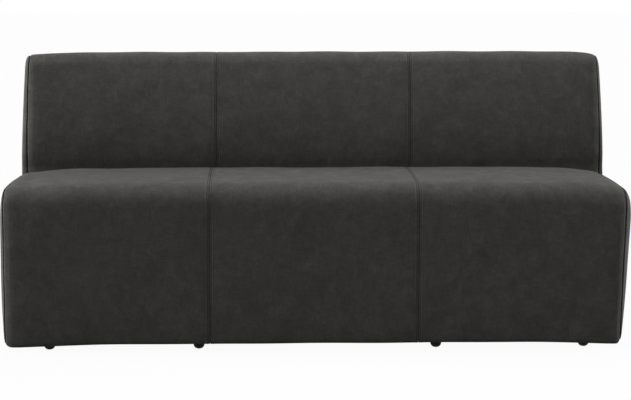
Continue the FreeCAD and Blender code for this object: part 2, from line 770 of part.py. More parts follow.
def all_parts():
    end_rib = FRAME_END - RIB / 2
    parts = {
        "seat_front_board": seat_front_board(),
        "seat_rear_board": seat_rear_board(),
        "seat_end_board_left": seat_end_board(-1),
        "seat_end_board_right": seat_end_board(1),
        "seat_divider_left": seat_divider(-1),
        "seat_divider_right": seat_divider(1),
        "seat_corner_blocks": seat_corner_blocks(),
        "front_base_rail": front_base_rail(),
        "seat_springs": seat_springs(),
        "spring_clips": spring_clips(),
        "spring_felt": spring_felt(),
        "seat_foam": seat_foam(),
        "seat_wadding": wadding_wrap(seat_wadding_path),
        "seat_end_pad_left": end_pad(seat_outline, SEAT_SEAM_X, HALF, -1),
        "seat_end_pad_right": end_pad(seat_outline, SEAT_SEAM_X, HALF, 1),
        "seat_cover_left": seat_cover(-SEAT_SEAM_X, -PANEL_SEAM_X),
        "seat_cover_middle": seat_cover(-PANEL_SEAM_X, PANEL_SEAM_X),
        "seat_cover_right": seat_cover(PANEL_SEAM_X, SEAT_SEAM_X),
        "seat_side_cover_left": side_cover(seat_outline, SEAT_SEAM_X, HALF, -1),
        "seat_side_cover_right": side_cover(seat_outline, SEAT_SEAM_X, HALF, 1),
        "back_rib_left": back_rib(-end_rib),
        "back_rib_inner_left": back_rib(-INNER_RIB_X),
        "back_rib_inner_right": back_rib(INNER_RIB_X),
        "back_rib_right": back_rib(end_rib),
        "back_top_rail": back_top_rail(),
        "tacking_rail": tacking_rail(),
        "joining_rail": joining_rail(),
        "rear_base_rail": rear_base_rail(),
        "back_webbing": back_webbing(),
        "back_foam": back_foam(),
        "back_wadding": wadding_wrap(back_path),
        "back_end_pad_left": end_pad(back_outline, BACK_SEAM_X, BACK_HALF, -1),
        "back_end_pad_right": end_pad(back_outline, BACK_SEAM_X, BACK_HALF, 1),
        "back_cover_left": back_cover(-BACK_SEAM_X, -PANEL_SEAM_X),
        "back_cover_middle": back_cover(-PANEL_SEAM_X, PANEL_SEAM_X),
        "back_cover_right": back_cover(PANEL_SEAM_X, BACK_SEAM_X),
        "back_side_cover_left": side_cover(back_outline, BACK_SEAM_X, BACK_HALF, -1),
        "back_side_cover_right": side_cover(back_outline, BACK_SEAM_X, BACK_HALF, 1),
        "back_hardboard": back_hardboard(),
        "rear_cover": rear_cover(),
        "dust_cloth": dust_cloth(),
        "tee_nuts": tee_nuts(),
        "joining_bolts": joining_bolts(),
        "frame_screws": frame_screws(),
    }
    for place, (x, y) in GLIDES.items():
        parts["glide_" + place] = glide(x, y)
        parts["stud_" + place] = stud(x, y)
    return parts


os.makedirs("parts", exist_ok=True)
for name, shape in all_parts().items():
    shape.exportStep("parts/" + name + ".step")
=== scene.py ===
import json
import math

import bmesh
import bpy
import numpy as np
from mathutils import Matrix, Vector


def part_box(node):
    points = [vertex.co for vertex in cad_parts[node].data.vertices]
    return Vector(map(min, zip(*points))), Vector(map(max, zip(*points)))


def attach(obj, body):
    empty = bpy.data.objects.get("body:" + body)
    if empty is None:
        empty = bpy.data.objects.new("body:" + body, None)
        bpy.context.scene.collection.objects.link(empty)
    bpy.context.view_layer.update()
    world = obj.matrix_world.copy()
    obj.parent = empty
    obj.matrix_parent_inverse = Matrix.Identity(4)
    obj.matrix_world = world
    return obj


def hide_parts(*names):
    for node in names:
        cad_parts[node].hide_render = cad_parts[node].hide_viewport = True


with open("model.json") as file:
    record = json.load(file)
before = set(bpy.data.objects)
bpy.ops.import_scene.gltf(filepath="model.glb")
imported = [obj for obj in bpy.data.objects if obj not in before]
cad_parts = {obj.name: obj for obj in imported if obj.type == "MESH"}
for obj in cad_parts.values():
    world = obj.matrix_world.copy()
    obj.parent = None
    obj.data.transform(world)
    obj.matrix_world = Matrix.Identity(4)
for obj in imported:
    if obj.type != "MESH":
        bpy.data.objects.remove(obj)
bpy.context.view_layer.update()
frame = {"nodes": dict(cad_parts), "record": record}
scene = bpy.context.scene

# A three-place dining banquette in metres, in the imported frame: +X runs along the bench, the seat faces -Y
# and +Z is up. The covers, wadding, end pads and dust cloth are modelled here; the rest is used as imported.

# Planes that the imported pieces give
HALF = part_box("seat_side_cover_right")[1].x
BACK_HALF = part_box("back_side_cover_right")[1].x
PANEL_SEAM_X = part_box("seat_cover_middle")[1].x
SEAT_SEAM_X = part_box("seat_cover_right")[1].x
BACK_SEAM_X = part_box("back_cover_right")[1].x
FRAME_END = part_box("seat_wadding")[1].x
FRONT_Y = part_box("seat_cover_middle")[0].y
SEAT_REAR_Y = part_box("seat_cover_middle")[1].y
BACK_FRONT_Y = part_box("back_cover_middle")[0].y
FLAP_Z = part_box("back_cover_middle")[0].z

# Forms of the padding
HEIGHT = 0.830
SEAT_HEIGHT = 0.485
FLOOR_GAP = 0.024
BACK_LEAN = math.radians(10)
KINK_Z = SEAT_HEIGHT - 0.030
HEM = 0.024
REAR_FOOT_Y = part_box("rear_cover")[0].y + HEM
REAR_TOP_Y = -FRONT_Y
REAR_SLOPE = (REAR_TOP_Y - REAR_FOOT_Y) / (HEIGHT - FLOOR_GAP)
SEAT_FRONT_RADIUS = 0.060
SEAT_REAR_RADIUS = 0.010
SEAT_FRONT_FALL = 0.004
SEAT_REAR_FALL = 0.004
SEAT_CROWN = 0.025
SEAT_CROWN_REACH = 0.080
CROWN_SHARE = 0.4
BACK_TOP_RADIUS = 0.040
BACK_REAR_RADIUS = 0.028
BACK_TOP_FALL = 0.008
BACK_CROWN = 0.010
BACK_CROWN_REACH = 0.060
KINK_RADIUS = 0.150
HEM_RADIUS = 0.012
HEM_SAG = 0.009
HEM_SAG_REACH = 0.100
INNER_RADIUS = 0.003
LEAST_RADIUS = 0.001
END_ROUND = 0.032
END_EDGE = 0.009
MEETING_ROUND = 0.006
SEAT_END_TOP = 0.038
SEAT_END_FLAT = 0.136
BACK_END_TAPER = 0.005
BACK_END_X = BACK_HALF - 0.0024
BACK_END_TAPER_START = 0.060
BACK_CORNER_RADIUS = 0.013
BACK_END_FOOT = 0.040
TOP_SEAM_SETBACK = 0.036
JOINT_Y = (SEAT_REAR_Y + BACK_FRONT_Y) / 2

# How the padding has settled
FRONT_BULGE = 0.002
FRONT_TUCK = 0.0080
FRONT_TUCK_TOP = 0.250
WADDING_TUCK_SHARE = 0.35
BACK_BULGE = 0.018
BACK_TUCK = 0.0075
BACK_TUCK_TOP = 0.590
CREASE_TUCK = 0.0025
CREASE_TUCK_TOP = 0.512
BACK_TOP_RISE = 0.0016
BACK_TOP_TILT = 0.5
LEFT_CORNER_RISE = 0.0050
RIGHT_CORNER_RISE = 0.0005
CORNER_RISE_REACH = 0.055
HEM_DROP = 0.0042
HEM_DROP_TOP = 0.100
HEM_DROP_MORE = 0.600, 0.880
BACK_BULGE_ZONE = 0.470, 0.810
HEM_CORNER = 0.014
HEM_LIFT = 0.011
HEM_LIFT_REACH = 0.016
HEM_LIFT_HEIGHT = 0.030
HEM_LIFT_ZONE = 0.240, 0.300
HEM_LIFT_DRAWN = 0.85
END_DRAWN_TOP = 0.420
RIGHT_OUT = 0.0033
RIGHT_DRAWN = 0.0155
RIGHT_OUT_LOW = 0.0015
LEFT_OUT = 0.0045
LEFT_OUT_LOW = 0.0035
LEFT_TOP_RISE = 0.0125
LEFT_TOP_REACH = 0.080
LEFT_REAR_SHARE = 0.55
LEFT_FORWARD_ZONE = -0.130, 0.220
RIGHT_TOP_RISE = 0.0062
RIGHT_TOP_REACH = 0.075
SEAT_DRIFT = (-0.900, -0.887, -0.3, 0.3, 0.887, 0.900), (0.0, -0.0023, -0.0092, -0.0117, -0.0085, 0.0)
BACK_DRIFT = (-0.894, -0.878, -0.3, 0.3, 0.878, 0.894), (-0.0005, 0.0040, 0.003, 0.0, 0.0040, 0.0032)
BACK_SHEAR = 0.0175
BACK_SHEAR_HEIGHTS = 0.515, 0.650
END_TOP_ZONE = 0.300, 0.430

# Layers
COVER = 0.002
LAYER_GAP = 0.0005
PAD_FOOT = 0.0285
WADDING = 0.0030
WADDING_SETBACK = 0.0030
# The dark strips behind the seams and at the joint, sized below, are painted shade that fills gaps which
# would be in shadow
SHADE_STRIP = 0.0005
SHADE_STRIP_WIDTH = 0.008
SHADE_STRIP_REACH = 0.011
JOINT_SHADE_STRIP_DEPTH = 0.0052
SEAM_GAP = 0.00015
SIDE_SEAM_GAP = 0.0018
SEAM_DIP = 0.0012
UNDER_COVER = COVER + LAYER_GAP

# Seams and stitching
FOLD_DEPTH = 0.0019
SIDE_FOLD_DEPTH = 0.0032
FOLD_WIDTH = 0.0007
SEAM_ROLL = 0.0045
SEAM_ROLL_REACH = 0.016
SEAM_ROLL_ANGLE = math.radians(45)
STITCH_OFFSET = 0.0062
STITCH_DEPTH = 0.0008
STITCH_WIDTH = 0.0009
RIDGE = 0.0007
RIDGE_OFFSETS = 0.0033, 0.0090
RIDGE_WIDTH = 0.0018
STITCH = 0.0052
STITCH_PITCH = 0.0068
THREAD = 0.0009
THREAD_STEPS = 7
THREAD_SIDES = 6
THREAD_LIFT = 0.55
THREAD_SUNK = 0.25
THREAD_TIP = 0.05
TOP_SEAM_SHARE = 0.6
PUCKER = 0.0004
PUCKER_REACH = 0.018
PUCKER_WAVES = (0.027, 0.043, 0.071)
GATHER = 0.0030
GATHER_WAVE = 0.012
GATHER_REACH = 0.007
GATHER_SPAN = 0.014
UNEVEN = 0.0005
UNEVEN_WAVES = (0.19, 0.31, 0.47)

# Dust cloth
CLOTH_CELL = 0.040
CLOTH_SAG = 0.0035
CLOTH_HELD = 0.060
CLOTH_FOOT = 0.020
CLOTH_RIPPLE = 0.25

# Swelling of the padded panels under their cover
SWELL_CAP = 0.0020
SWELL_PRESSURE = 4.0
SWELL_FRAMES = 20
SWELL_COLUMNS = 37
SWELL_ROW_STEP = 3
SWELL_SMOOTHING = 8

# Fineness of the meshes
FINE_STEPS = 12
STEP_GROWTH = 1.4
PANEL_STEP = 0.008
END_STEPS = 20
END_RINGS = 10
END_BULGE = 0.002
JOINT_SHADE_STRIP_ROWS = 40
SHADE_STRIP_COLUMNS = 4
SHARP_ANGLE = math.radians(50)
MEETING = 1e-6
LEAST_LENGTH = 1e-12
LEAST_TURN = 1e-3
SEAT_RUNS, SEAT_BENDS = (3, 50, 10, 14, 14), (0, 6, 16, 16, 10, 0)
WRAP_RUNS, WRAP_BENDS = (40, 10, 14, 14), (0, 12, 12, 8, 0)
BACK_RUNS, BACK_BENDS = (10, 44, 8), (0, 6, 14, 0)
REAR_RUNS, REAR_BENDS = (3, 70, 3), (0, 10, 6, 0)
SEAT_RING = (40, 44, 10, 14, 40), (3, 6, 16, 16, 10)
BACK_RING = (14, 40, 44, 8, 60), (6, 3, 6, 14, 10)

# The photograph's view
IMAGE_WIDTH = 631
FOCAL_PIXELS = 1845.56
SENSOR = 36.0
CAMERA_PLACE = (-0.1724, -5.5057, 1.1341)
CAMERA_YAW = math.radians(1.8171)
CAMERA_PITCH = math.radians(7.6391)

# Studio
FLOOR_SIZE = 60.0
TOP_POWER = 15.5
TOP_SIZE = 3.2, 0.8
TOP_PLACE = 0.0, 0.15, 2.2
AMBIENT = 0.35
FLOOR_GLOW = 0.95
FLOOR_BOUNCE = 0.18
FLOOR_SHADE = 0.9
SIDE_STRENGTHS = {"left": 4.9, "right": 3.2}
SIDE_SOFTNESS = math.radians(20)
SIDE_HEIGHT = math.radians(9)
SIDE_BEHIND = {"left": math.radians(2), "right": math.radians(9)}


# Outlines


def direction(start, end):
    step = end[..., :2] - start[..., :2]
    return step / np.linalg.norm(step, axis=-1, keepdims=True)


def unit(vectors):
    return vectors / np.linalg.norm(vectors, axis=-1, keepdims=True)


def outlines(x, *corners):
    """One outline of (y, z, radius) corners for each place along x."""
    rows = [np.stack(np.broadcast_arrays(y, z, radius, x)[:3], -1) for y, z, radius in corners]
    return np.stack(rows, 1)


def traced(corners, runs, bends, closed=False):
    """Points along outlines: straight runs joined by tangent arcs, each cut as runs and bends say."""
    count = corners.shape[1]
    stops = []
    for i in range(count):
        point = corners[:, i, :2]
        if not closed and i in (0, count - 1):
            stops.append(point[:, None])
            continue
        before = direction(corners[:, i - 1], corners[:, i])
        after = direction(corners[:, i], corners[:, (i + 1) % count])
        half_turn = np.arccos(np.clip((before * after).sum(-1), -1, 1)) / 2
        radius = corners[:, i, 2]
        along, out = unit(before + after)[:, None], unit(before - after)[:, None]
        centre = point[:, None] - out * (radius / np.cos(half_turn))[:, None, None]
        turn = (half_turn[:, None] * np.linspace(-1, 1, bends[i] + 1))[..., None]
        stops.append(centre + radius[:, None, None] * (out * np.cos(turn) + along * np.sin(turn)))
    pieces = []
    for i, stop in enumerate(stops):
        pieces.append(stop)
        if closed or i < count - 1:
            start, end = stop[:, -1:], stops[(i + 1) % count][:, :1]
            share = np.linspace(0, 1, runs[i] + 1)[1:-1, None]
            pieces.append(start + (end - start) * share)
    return np.concatenate(pieces, 1)


def drawn_in(corners, distance):
    """Closed outlines moved inwards by a distance each; the corner radii follow."""
    before = direction(np.roll(corners, 1, 1), corners)
    after = direction(corners, np.roll(corners, -1, 1))
    across = np.stack([before[..., 1] + after[..., 1], -before[..., 0] - after[..., 0]], -1)
    distance = np.asarray(distance)[:, None]
    share = 2 * distance / (across ** 2).sum(-1)
    moved = corners[..., :2] + across * share[..., None]
    radius = np.maximum(corners[..., 2] - distance, LEAST_RADIUS)
    return np.concatenate([moved, radius[..., None]], -1)


def crown_drop(x, amount, reach):
    return amount * np.exp((np.abs(x) - HALF) / reach)


def back_corner_fall(x):
    """How far the back's rounded top corners and tapered sides bring its top down at x."""
    taper_x = BACK_END_X - BACK_END_TAPER
    into = np.clip(np.abs(x) - (taper_x - BACK_CORNER_RADIUS), 0, BACK_CORNER_RADIUS)
    rounded = BACK_CORNER_RADIUS - np.sqrt(BACK_CORNER_RADIUS ** 2 - into ** 2)
    past = np.clip(np.abs(x) - taper_x, 0, None) / BACK_END_TAPER
    return rounded + (HEIGHT - KINK_Z - BACK_END_TAPER_START - BACK_CORNER_RADIUS) * past


def rear_y(z):
    return REAR_FOOT_Y + (z - FLOOR_GAP) * REAR_SLOPE


def seat_outlines(x, dip, end=0.0):
    """The seat's side view at each x, from the lower rear corner; end grows to 1 over a rounded end."""
    top = SEAT_HEIGHT - crown_drop(x, SEAT_CROWN, SEAT_CROWN_REACH) - SEAT_END_TOP * end - dip
    end_bottom = SEAT_HEIGHT - SEAT_CROWN - SEAT_END_TOP - SEAT_END_FLAT
    hem = FLOOR_GAP - crown_drop(x, HEM_SAG, HEM_SAG_REACH)
    bottom = hem + (end_bottom - hem) * end
    front = FRONT_Y + END_ROUND * end + dip
    rear = SEAT_REAR_Y - MEETING_ROUND * end
    half_run = (rear - front) / 2
    crown_turn = np.arctan(SEAT_FRONT_FALL / half_run) + np.arctan(SEAT_REAR_FALL / half_run)
    crown_radius = CROWN_SHARE * half_run / np.tan(crown_turn / 2)
    return outlines(
        x,
        (rear, bottom, INNER_RADIUS),
        (front, bottom, HEM_RADIUS),
        (front, top - SEAT_FRONT_FALL, SEAT_FRONT_RADIUS),
        (front + half_run, top, crown_radius),
        (rear, top - SEAT_REAR_FALL, SEAT_REAR_RADIUS),
    )


def back_outlines(x, dip, end=0.0):
    """The back's side view at each x, from the lower rear corner; end grows to 1 over a rounded end."""
    top = HEIGHT - crown_drop(x, BACK_CROWN, BACK_CROWN_REACH) - back_corner_fall(x) - dip
    bottom = FLOOR_GAP + BACK_END_FOOT * end
    front = BACK_FRONT_Y + MEETING_ROUND * end + dip
    lean_front = front + (END_ROUND - MEETING_ROUND) * end + (top - KINK_Z) * math.tan(BACK_LEAN)
    set_in = END_ROUND * end
    return outlines(
        x,
        (rear_y(bottom) - set_in, bottom, HEM_RADIUS),
        (front, bottom, INNER_RADIUS),
        (front, KINK_Z, KINK_RADIUS),
        (lean_front, top, BACK_TOP_RADIUS),
        (rear_y(top - BACK_TOP_FALL) - set_in, top - BACK_TOP_FALL, BACK_REAR_RADIUS),
    )


def corner(outline, i):
    return outline[:, i, 0], outline[:, i, 1], outline[:, i, 2]


def top_seam(outline):
    """The point on the back's top where the front panels meet the rear panel."""
    way = direction(outline[:, 4], outline[:, 3]) * TOP_SEAM_SETBACK
    return outline[:, 4, 0] + way[:, 0], outline[:, 4, 1] + way[:, 1], 0.0


def in_space(x, flat):
    """Side-view points set at their places along x."""
    across = np.broadcast_to(np.asarray(x)[:, None], flat.shape[:2])
    return np.concatenate([across[..., None], flat], -1)


def seat_surface(x, dip=SEAM_DIP):
    """The seat cover, from the hem under the front to the flap behind the seat."""
    shape = seat_outlines(x, dip)
    tuck = FRONT_Y + HEM, shape[:, 1, 1], 0.0
    flap = shape[:, 0, 0], FLAP_Z, 0.0
    path = outlines(x, tuck, *(corner(shape, i) for i in (1, 2, 3, 4)), flap)
    return in_space(x, traced(path, SEAT_RUNS, SEAT_BENDS))


def seat_wrap_surface(x, dip):
    shape = seat_outlines(x, dip)
    start = shape[:, 1, 0], shape[:, 1, 1] + HEM_RADIUS + COVER, 0.0
    flap = shape[:, 0, 0] - dip, FLAP_Z, 0.0
    path = outlines(x, start, *(corner(shape, i) for i in (2, 3, 4)), flap)
    return in_space(x, traced(path, WRAP_RUNS, WRAP_BENDS))


def back_surface(x, dip=SEAM_DIP):
    """The back cover, from the flap behind the seat to the seam on the back's top."""
    shape = back_outlines(x, dip)
    flap = shape[:, 1, 0], FLAP_Z, 0.0
    path = outlines(x, flap, corner(shape, 2), corner(shape, 3), top_seam(shape))
    return in_space(x, traced(path, BACK_RUNS, BACK_BENDS))


def rear_surface(x, dip=SEAM_DIP):
    """The outside back, from the seam on the top to the hem under the frame."""
    shape = back_outlines(x, dip)
    tuck = REAR_FOOT_Y - HEM, shape[:, 0, 1], 0.0
    path = outlines(x, top_seam(shape), corner(shape, 4), corner(shape, 0), tuck)
    return in_space(x, traced(path, REAR_RUNS, REAR_BENDS))


# Meshes


def add_mesh(name, points, faces):
    mesh = bpy.data.meshes.new(name)
    mesh.from_pydata(points.reshape(-1, 3).tolist(), [], faces)
    mesh.shade_smooth()
    piece = bpy.data.objects.new(name, mesh)
    scene.collection.objects.link(piece)
    return piece


def grid_faces(rows, columns, closed=False, first=0, flipped=False):
    """Quads of a grid of points; closed joins its last column to its first."""
    across = np.arange(columns if closed else columns - 1)
    row, column = np.meshgrid(np.arange(rows - 1), across, indexing="ij")
    beside = (column + 1) % columns
    quads = np.stack([
        row * columns + column, (row + 1) * columns + column,
        (row + 1) * columns + beside, row * columns + beside,
    ], -1).reshape(-1, 4) + first
    return quads[:, ::-1].tolist() if flipped else quads.tolist()


def rim_faces(ring, offset, flipped=False):
    """Quads that join a closed ring of points to the same ring further on in the list."""
    ring = np.asarray(ring)
    beside = np.roll(ring, -1)
    quads = np.stack([ring, ring + offset, beside + offset, beside], -1)
    return quads[:, ::-1].tolist() if flipped else quads.tolist()


def surface_normals(grid, closed=False):
    along = np.gradient(grid, axis=0)
    if closed:
        around = np.roll(grid, -1, 1) - np.roll(grid, 1, 1)
    else:
        around = np.gradient(grid, axis=1)
    normals = np.cross(along, around)
    return normals / np.maximum(np.linalg.norm(normals, axis=-1, keepdims=True), LEAST_LENGTH)


def sheet_piece(name, outer, normals, thickness):
    """A closed layer under a grid of outer points."""
    rows, columns = outer.shape[:2]
    count = rows * columns
    faces = grid_faces(rows, columns) + grid_faces(rows, columns, first=count, flipped=True)
    index = np.arange(count).reshape(rows, columns)
    ring = np.concatenate([index[:, 0], index[-1, 1:], index[-2::-1, -1], index[0, -2:0:-1]])
    faces += rim_faces(ring, count, flipped=True)
    piece = add_mesh(name, np.concatenate([outer, outer - normals * thickness]), faces)
    piece.data.set_sharp_from_angle(angle=SHARP_ANGLE)
    return piece


def cleaned(piece):
    """Joins the points that meet at the middle of an end."""
    shape = bmesh.new()
    shape.from_mesh(piece.data)
    bmesh.ops.remove_doubles(shape, verts=shape.verts, dist=MEETING)
    bmesh.ops.dissolve_degenerate(shape, edges=shape.edges, dist=MEETING / 10)
    shape.to_mesh(piece.data)
    shape.free()
    piece.data.set_sharp_from_angle(angle=SHARP_ANGLE)
    return piece


# How the padding has settled


def eased(value, start, stop):
    """A smooth step from 0 at start to 1 at stop."""
    share = np.clip((value - start) / (stop - start), 0, 1)
    return share * share * (3 - 2 * share)


def bulge(z, low, high):
    """A smooth swell between two heights, 1 half way."""
    share = np.clip((z - low) / (high - low), 0, 1)
    return 4 * share * (1 - share)


def below(z, top, foot):
    """A share that grows from 0 at a top height to 1 at a foot."""
    return np.clip((top - z) / (top - foot), 0, 1)


def seat_shift(x, y, z, tuck_share):
    """How the seat's padding has moved: a full front, a tucked hem with round corners, two unlike ends."""
    low = below(z, END_DRAWN_TOP, FLOOR_GAP)
    right_in = RIGHT_DRAWN * np.sin(math.pi / 2 * low) - RIGHT_OUT_LOW * low ** 4 - RIGHT_OUT
    left_in = -LEFT_OUT - LEFT_OUT_LOW * low ** 3
    outer = np.clip((np.abs(x) - FRAME_END) / (HALF - FRAME_END), 0, None)
    inwards = np.where(x > 0, right_in, left_in) * outer

    across = np.clip((np.abs(x) - (HALF - END_EDGE - HEM_CORNER)) / HEM_CORNER, 0, None)
    down = np.clip((FLOOR_GAP - HEM_SAG + HEM_CORNER - z) / HEM_CORNER, 0, 1)
    inwards += HEM_CORNER * across * (1 - np.sqrt(1 - down ** 2 / 2))
    lifted = HEM_CORNER * down * (1 - np.sqrt(1 - np.clip(across, 0, 1) ** 2 / 2))

    to_seam = np.clip(1 - (SEAT_SEAM_X - np.abs(x)) / HEM_LIFT_REACH, 0, 1)
    to_hem = np.clip((FLOOR_GAP - HEM_SAG + HEM_LIFT_HEIGHT - z) / HEM_LIFT_HEIGHT, 0, 1)
    to_hem = to_hem * eased(-y, *HEM_LIFT_ZONE)
    lifted += HEM_LIFT * to_hem * (1 - np.sqrt(1 - to_seam ** 2))
    inwards += HEM_LIFT_DRAWN * to_hem * np.clip(np.abs(x) - SEAT_SEAM_X, 0, None)

    tuck = tuck_share * FRONT_TUCK * below(z, FRONT_TUCK_TOP, FLOOR_GAP) ** 2
    full = FRONT_BULGE * bulge(z, FLOOR_GAP, SEAT_HEIGHT - SEAT_FRONT_RADIUS) - tuck
    forwards = full * eased(-y, 0, -FRONT_Y)

    left_share = LEFT_REAR_SHARE + (1 - LEFT_REAR_SHARE) * eased(-y, *LEFT_FORWARD_ZONE)
    left_rise = LEFT_TOP_RISE * left_share * eased(-x, HALF - LEFT_TOP_REACH, HALF - END_EDGE)
    right_rise = RIGHT_TOP_RISE * eased(x, HALF - RIGHT_TOP_REACH, HALF)
    rise = (left_rise + right_rise) * eased(z, *END_TOP_ZONE)
    hem = HEM_DROP * (1 - eased(z, FLOOR_GAP, HEM_DROP_TOP)) * (1 + eased(np.abs(x), *HEM_DROP_MORE) / 2)
    return np.stack([np.interp(x, *SEAT_DRIFT) - np.sign(x) * inwards, -forwards, rise + lifted - hem], -1)


def back_shift(x, y, z, tuck_share):
    """How the back's padding has moved: a full face, a tucked crease, raised corners and leaning seams."""
    lean = BACK_SHEAR * (np.maximum(z, BACK_SHEAR_HEIGHTS[0]) - BACK_SHEAR_HEIGHTS[1])
    sideways = np.interp(x, *BACK_DRIFT) - np.sign(x) * lean * eased(np.abs(x), PANEL_SEAM_X, FRAME_END)
    crease = BACK_TUCK * below(z, BACK_TUCK_TOP, SEAT_HEIGHT) ** 2
    crease += CREASE_TUCK * below(z, CREASE_TUCK_TOP, SEAT_HEIGHT) ** 2
    full = BACK_BULGE * bulge(z, *BACK_BULGE_ZONE) - tuck_share * crease
    forwards = full * eased(-y, -REAR_TOP_Y, -BACK_FRONT_Y)
    corner_rise = np.where(x > 0, RIGHT_CORNER_RISE, LEFT_CORNER_RISE)
    corner_rise = corner_rise * eased(np.abs(x), BACK_HALF - CORNER_RISE_REACH, BACK_HALF)
    rise = BACK_TOP_RISE * (1 + BACK_TOP_TILT * x / HALF) + corner_rise
    return np.stack([sideways, -forwards, rise * eased(z, BACK_BULGE_ZONE[0], HEIGHT)], -1)


def settled(points, tuck_share=1.0):
    """The padding as it sits on the bench. Layers under the cover take only a share of its tucks."""
    x, y, z = (points[..., i] for i in range(3))
    on_seat = (y < JOINT_Y)[..., None]
    return points + np.where(on_seat, seat_shift(x, y, z, tuck_share), back_shift(x, y, z, tuck_share))


# Relief of the sewn cover


def stations(start, stop):
    """Places along x from seam to seam, closest together at the stitching."""
    gap = STITCH_OFFSET / FINE_STEPS
    near = [gap * i for i in range(2 * FINE_STEPS)]
    while gap < PANEL_STEP:
        gap *= STEP_GROWTH
        near.append(near[-1] + gap)
    near = np.array(near)
    near[0] = SEAM_GAP
    count = round((stop - start - 2 * near[-1]) / PANEL_STEP)
    middle = np.linspace(start + near[-1], stop - near[-1], count + 1)[1:-1]
    return np.concatenate([start + near, middle, (stop - near)[::-1]])


def fold(distance, depth=FOLD_DEPTH):
    """How far the turned edge of the cover dips into a seam."""
    return depth * np.exp(-distance / FOLD_WIDTH)


def side_fold(distance):
    return fold(distance, SIDE_FOLD_DEPTH)


def groove(distance):
    """How far the stitching beside a seam draws the cover in, and the soft ridges on both sides of it."""
    drawn = STITCH_DEPTH * np.exp(-((distance - STITCH_OFFSET) / STITCH_WIDTH) ** 2)
    ridges = [RIDGE * np.exp(-((distance - offset) / RIDGE_WIDTH) ** 2) for offset in RIDGE_OFFSETS]
    return drawn - sum(ridges)


def roll(distance):
    """How the cover rounds off towards a side seam."""
    return SEAM_ROLL * np.exp(-distance / SEAM_ROLL_REACH)


def roll_share(surface, normals):
    """How much of that rounding a panel has: the outside back lies flat and only rolls on the top."""
    return np.clip(normals[..., 2], 0, 1) if surface is rear_surface else 1.0


def puckers(distance, along):
    """Small gathers that run out from a seam."""
    waves = [np.sin(2 * math.pi * along / wave + i) for i, wave in enumerate(PUCKER_WAVES)]
    return PUCKER * np.exp(-distance / PUCKER_REACH) * sum(waves) / len(waves)


def gathers(distance, along, normals):
    """Short creases where a side seam turns from the front over the top edge."""
    turn = np.argmin(np.abs(normals[..., 1] + normals[..., 2]), 1)
    past = along - along[np.arange(len(along)), turn][:, None]
    wave = 1 + np.cos(2 * math.pi * past / GATHER_WAVE)
    return GATHER / 2 * wave * np.exp(-distance / GATHER_REACH - (past / GATHER_SPAN) ** 2)


def unevenness(points):
    """The slight hollows and swells of padding under a cover."""
    waves = []
    for i, wave in enumerate(UNEVEN_WAVES):
        across = 2 * math.pi * points[..., 0] / wave + i
        up = 2 * math.pi * (points[..., 2] - points[..., 1]) / wave + 2 * i
        waves.append(np.sin(across) * np.cos(up))
    return UNEVEN * sum(waves)


def path_length(grid):
    steps = np.linalg.norm(np.diff(grid, axis=1), axis=-1)
    return np.concatenate([np.zeros((len(grid), 1)), np.cumsum(steps, 1)], 1)


def smoothed(field):
    for _ in range(SWELL_SMOOTHING):
        for axis in (0, 1):
            edges = np.pad(field, [(1, 1) if axis == i else (0, 0) for i in (0, 1)], "edge")
            before, after = (np.delete(edges, at, axis) for at in ([-2, -1], [0, 1]))
            field = (before + 2 * field + after) / 4
    return field


def blown_up(grid):
    """How far each point of a coarse grid moves when it is held at its edges and blown up as cloth."""
    rows, columns = grid.shape[:2]
    coarse = add_mesh("swelling", grid, grid_faces(rows, columns))
    index = np.arange(rows * columns).reshape(rows, columns)
    held = np.unique(np.concatenate([index[0], index[-1], index[:, 0], index[:, -1]]))
    coarse.vertex_groups.new(name="held").add(held.tolist(), 1.0, "REPLACE")
    cloth = coarse.modifiers.new("cloth", "CLOTH")
    cloth.settings.vertex_group_mass = "held"
    cloth.settings.use_pressure = True
    cloth.settings.uniform_pressure_force = SWELL_PRESSURE
    cloth.settings.effector_weights.gravity = 0.0
    cloth.point_cache.frame_start = 1
    cloth.point_cache.frame_end = SWELL_FRAMES
    for step in range(1, SWELL_FRAMES + 1):
        scene.frame_set(step)
    shown = coarse.evaluated_get(bpy.context.evaluated_depsgraph_get())
    moved = np.zeros(rows * columns * 3)
    shown.data.vertices.foreach_get("co", moved)
    bpy.data.objects.remove(coarse)
    scene.frame_set(1)
    return moved.reshape(grid.shape) - grid


def swelling(surface, xs):
    """How far the padding pushes a panel out from its seams."""
    full = surface(xs)
    coarse_xs = np.linspace(xs[0], xs[-1], SWELL_COLUMNS)
    last = full.shape[1] - 1
    picks = np.unique(np.append(np.arange(0, last, SWELL_ROW_STEP), last))
    grid = surface(coarse_xs)[:, picks]
    push = (blown_up(grid) * surface_normals(grid)).sum(-1)
    push = SWELL_CAP * np.tanh(np.clip(push, 0, None) / SWELL_CAP)
    rows = np.stack([np.interp(np.arange(last + 1), picks, row) for row in push])
    return smoothed(np.stack([np.interp(xs, coarse_xs, row) for row in rows.T], 1))


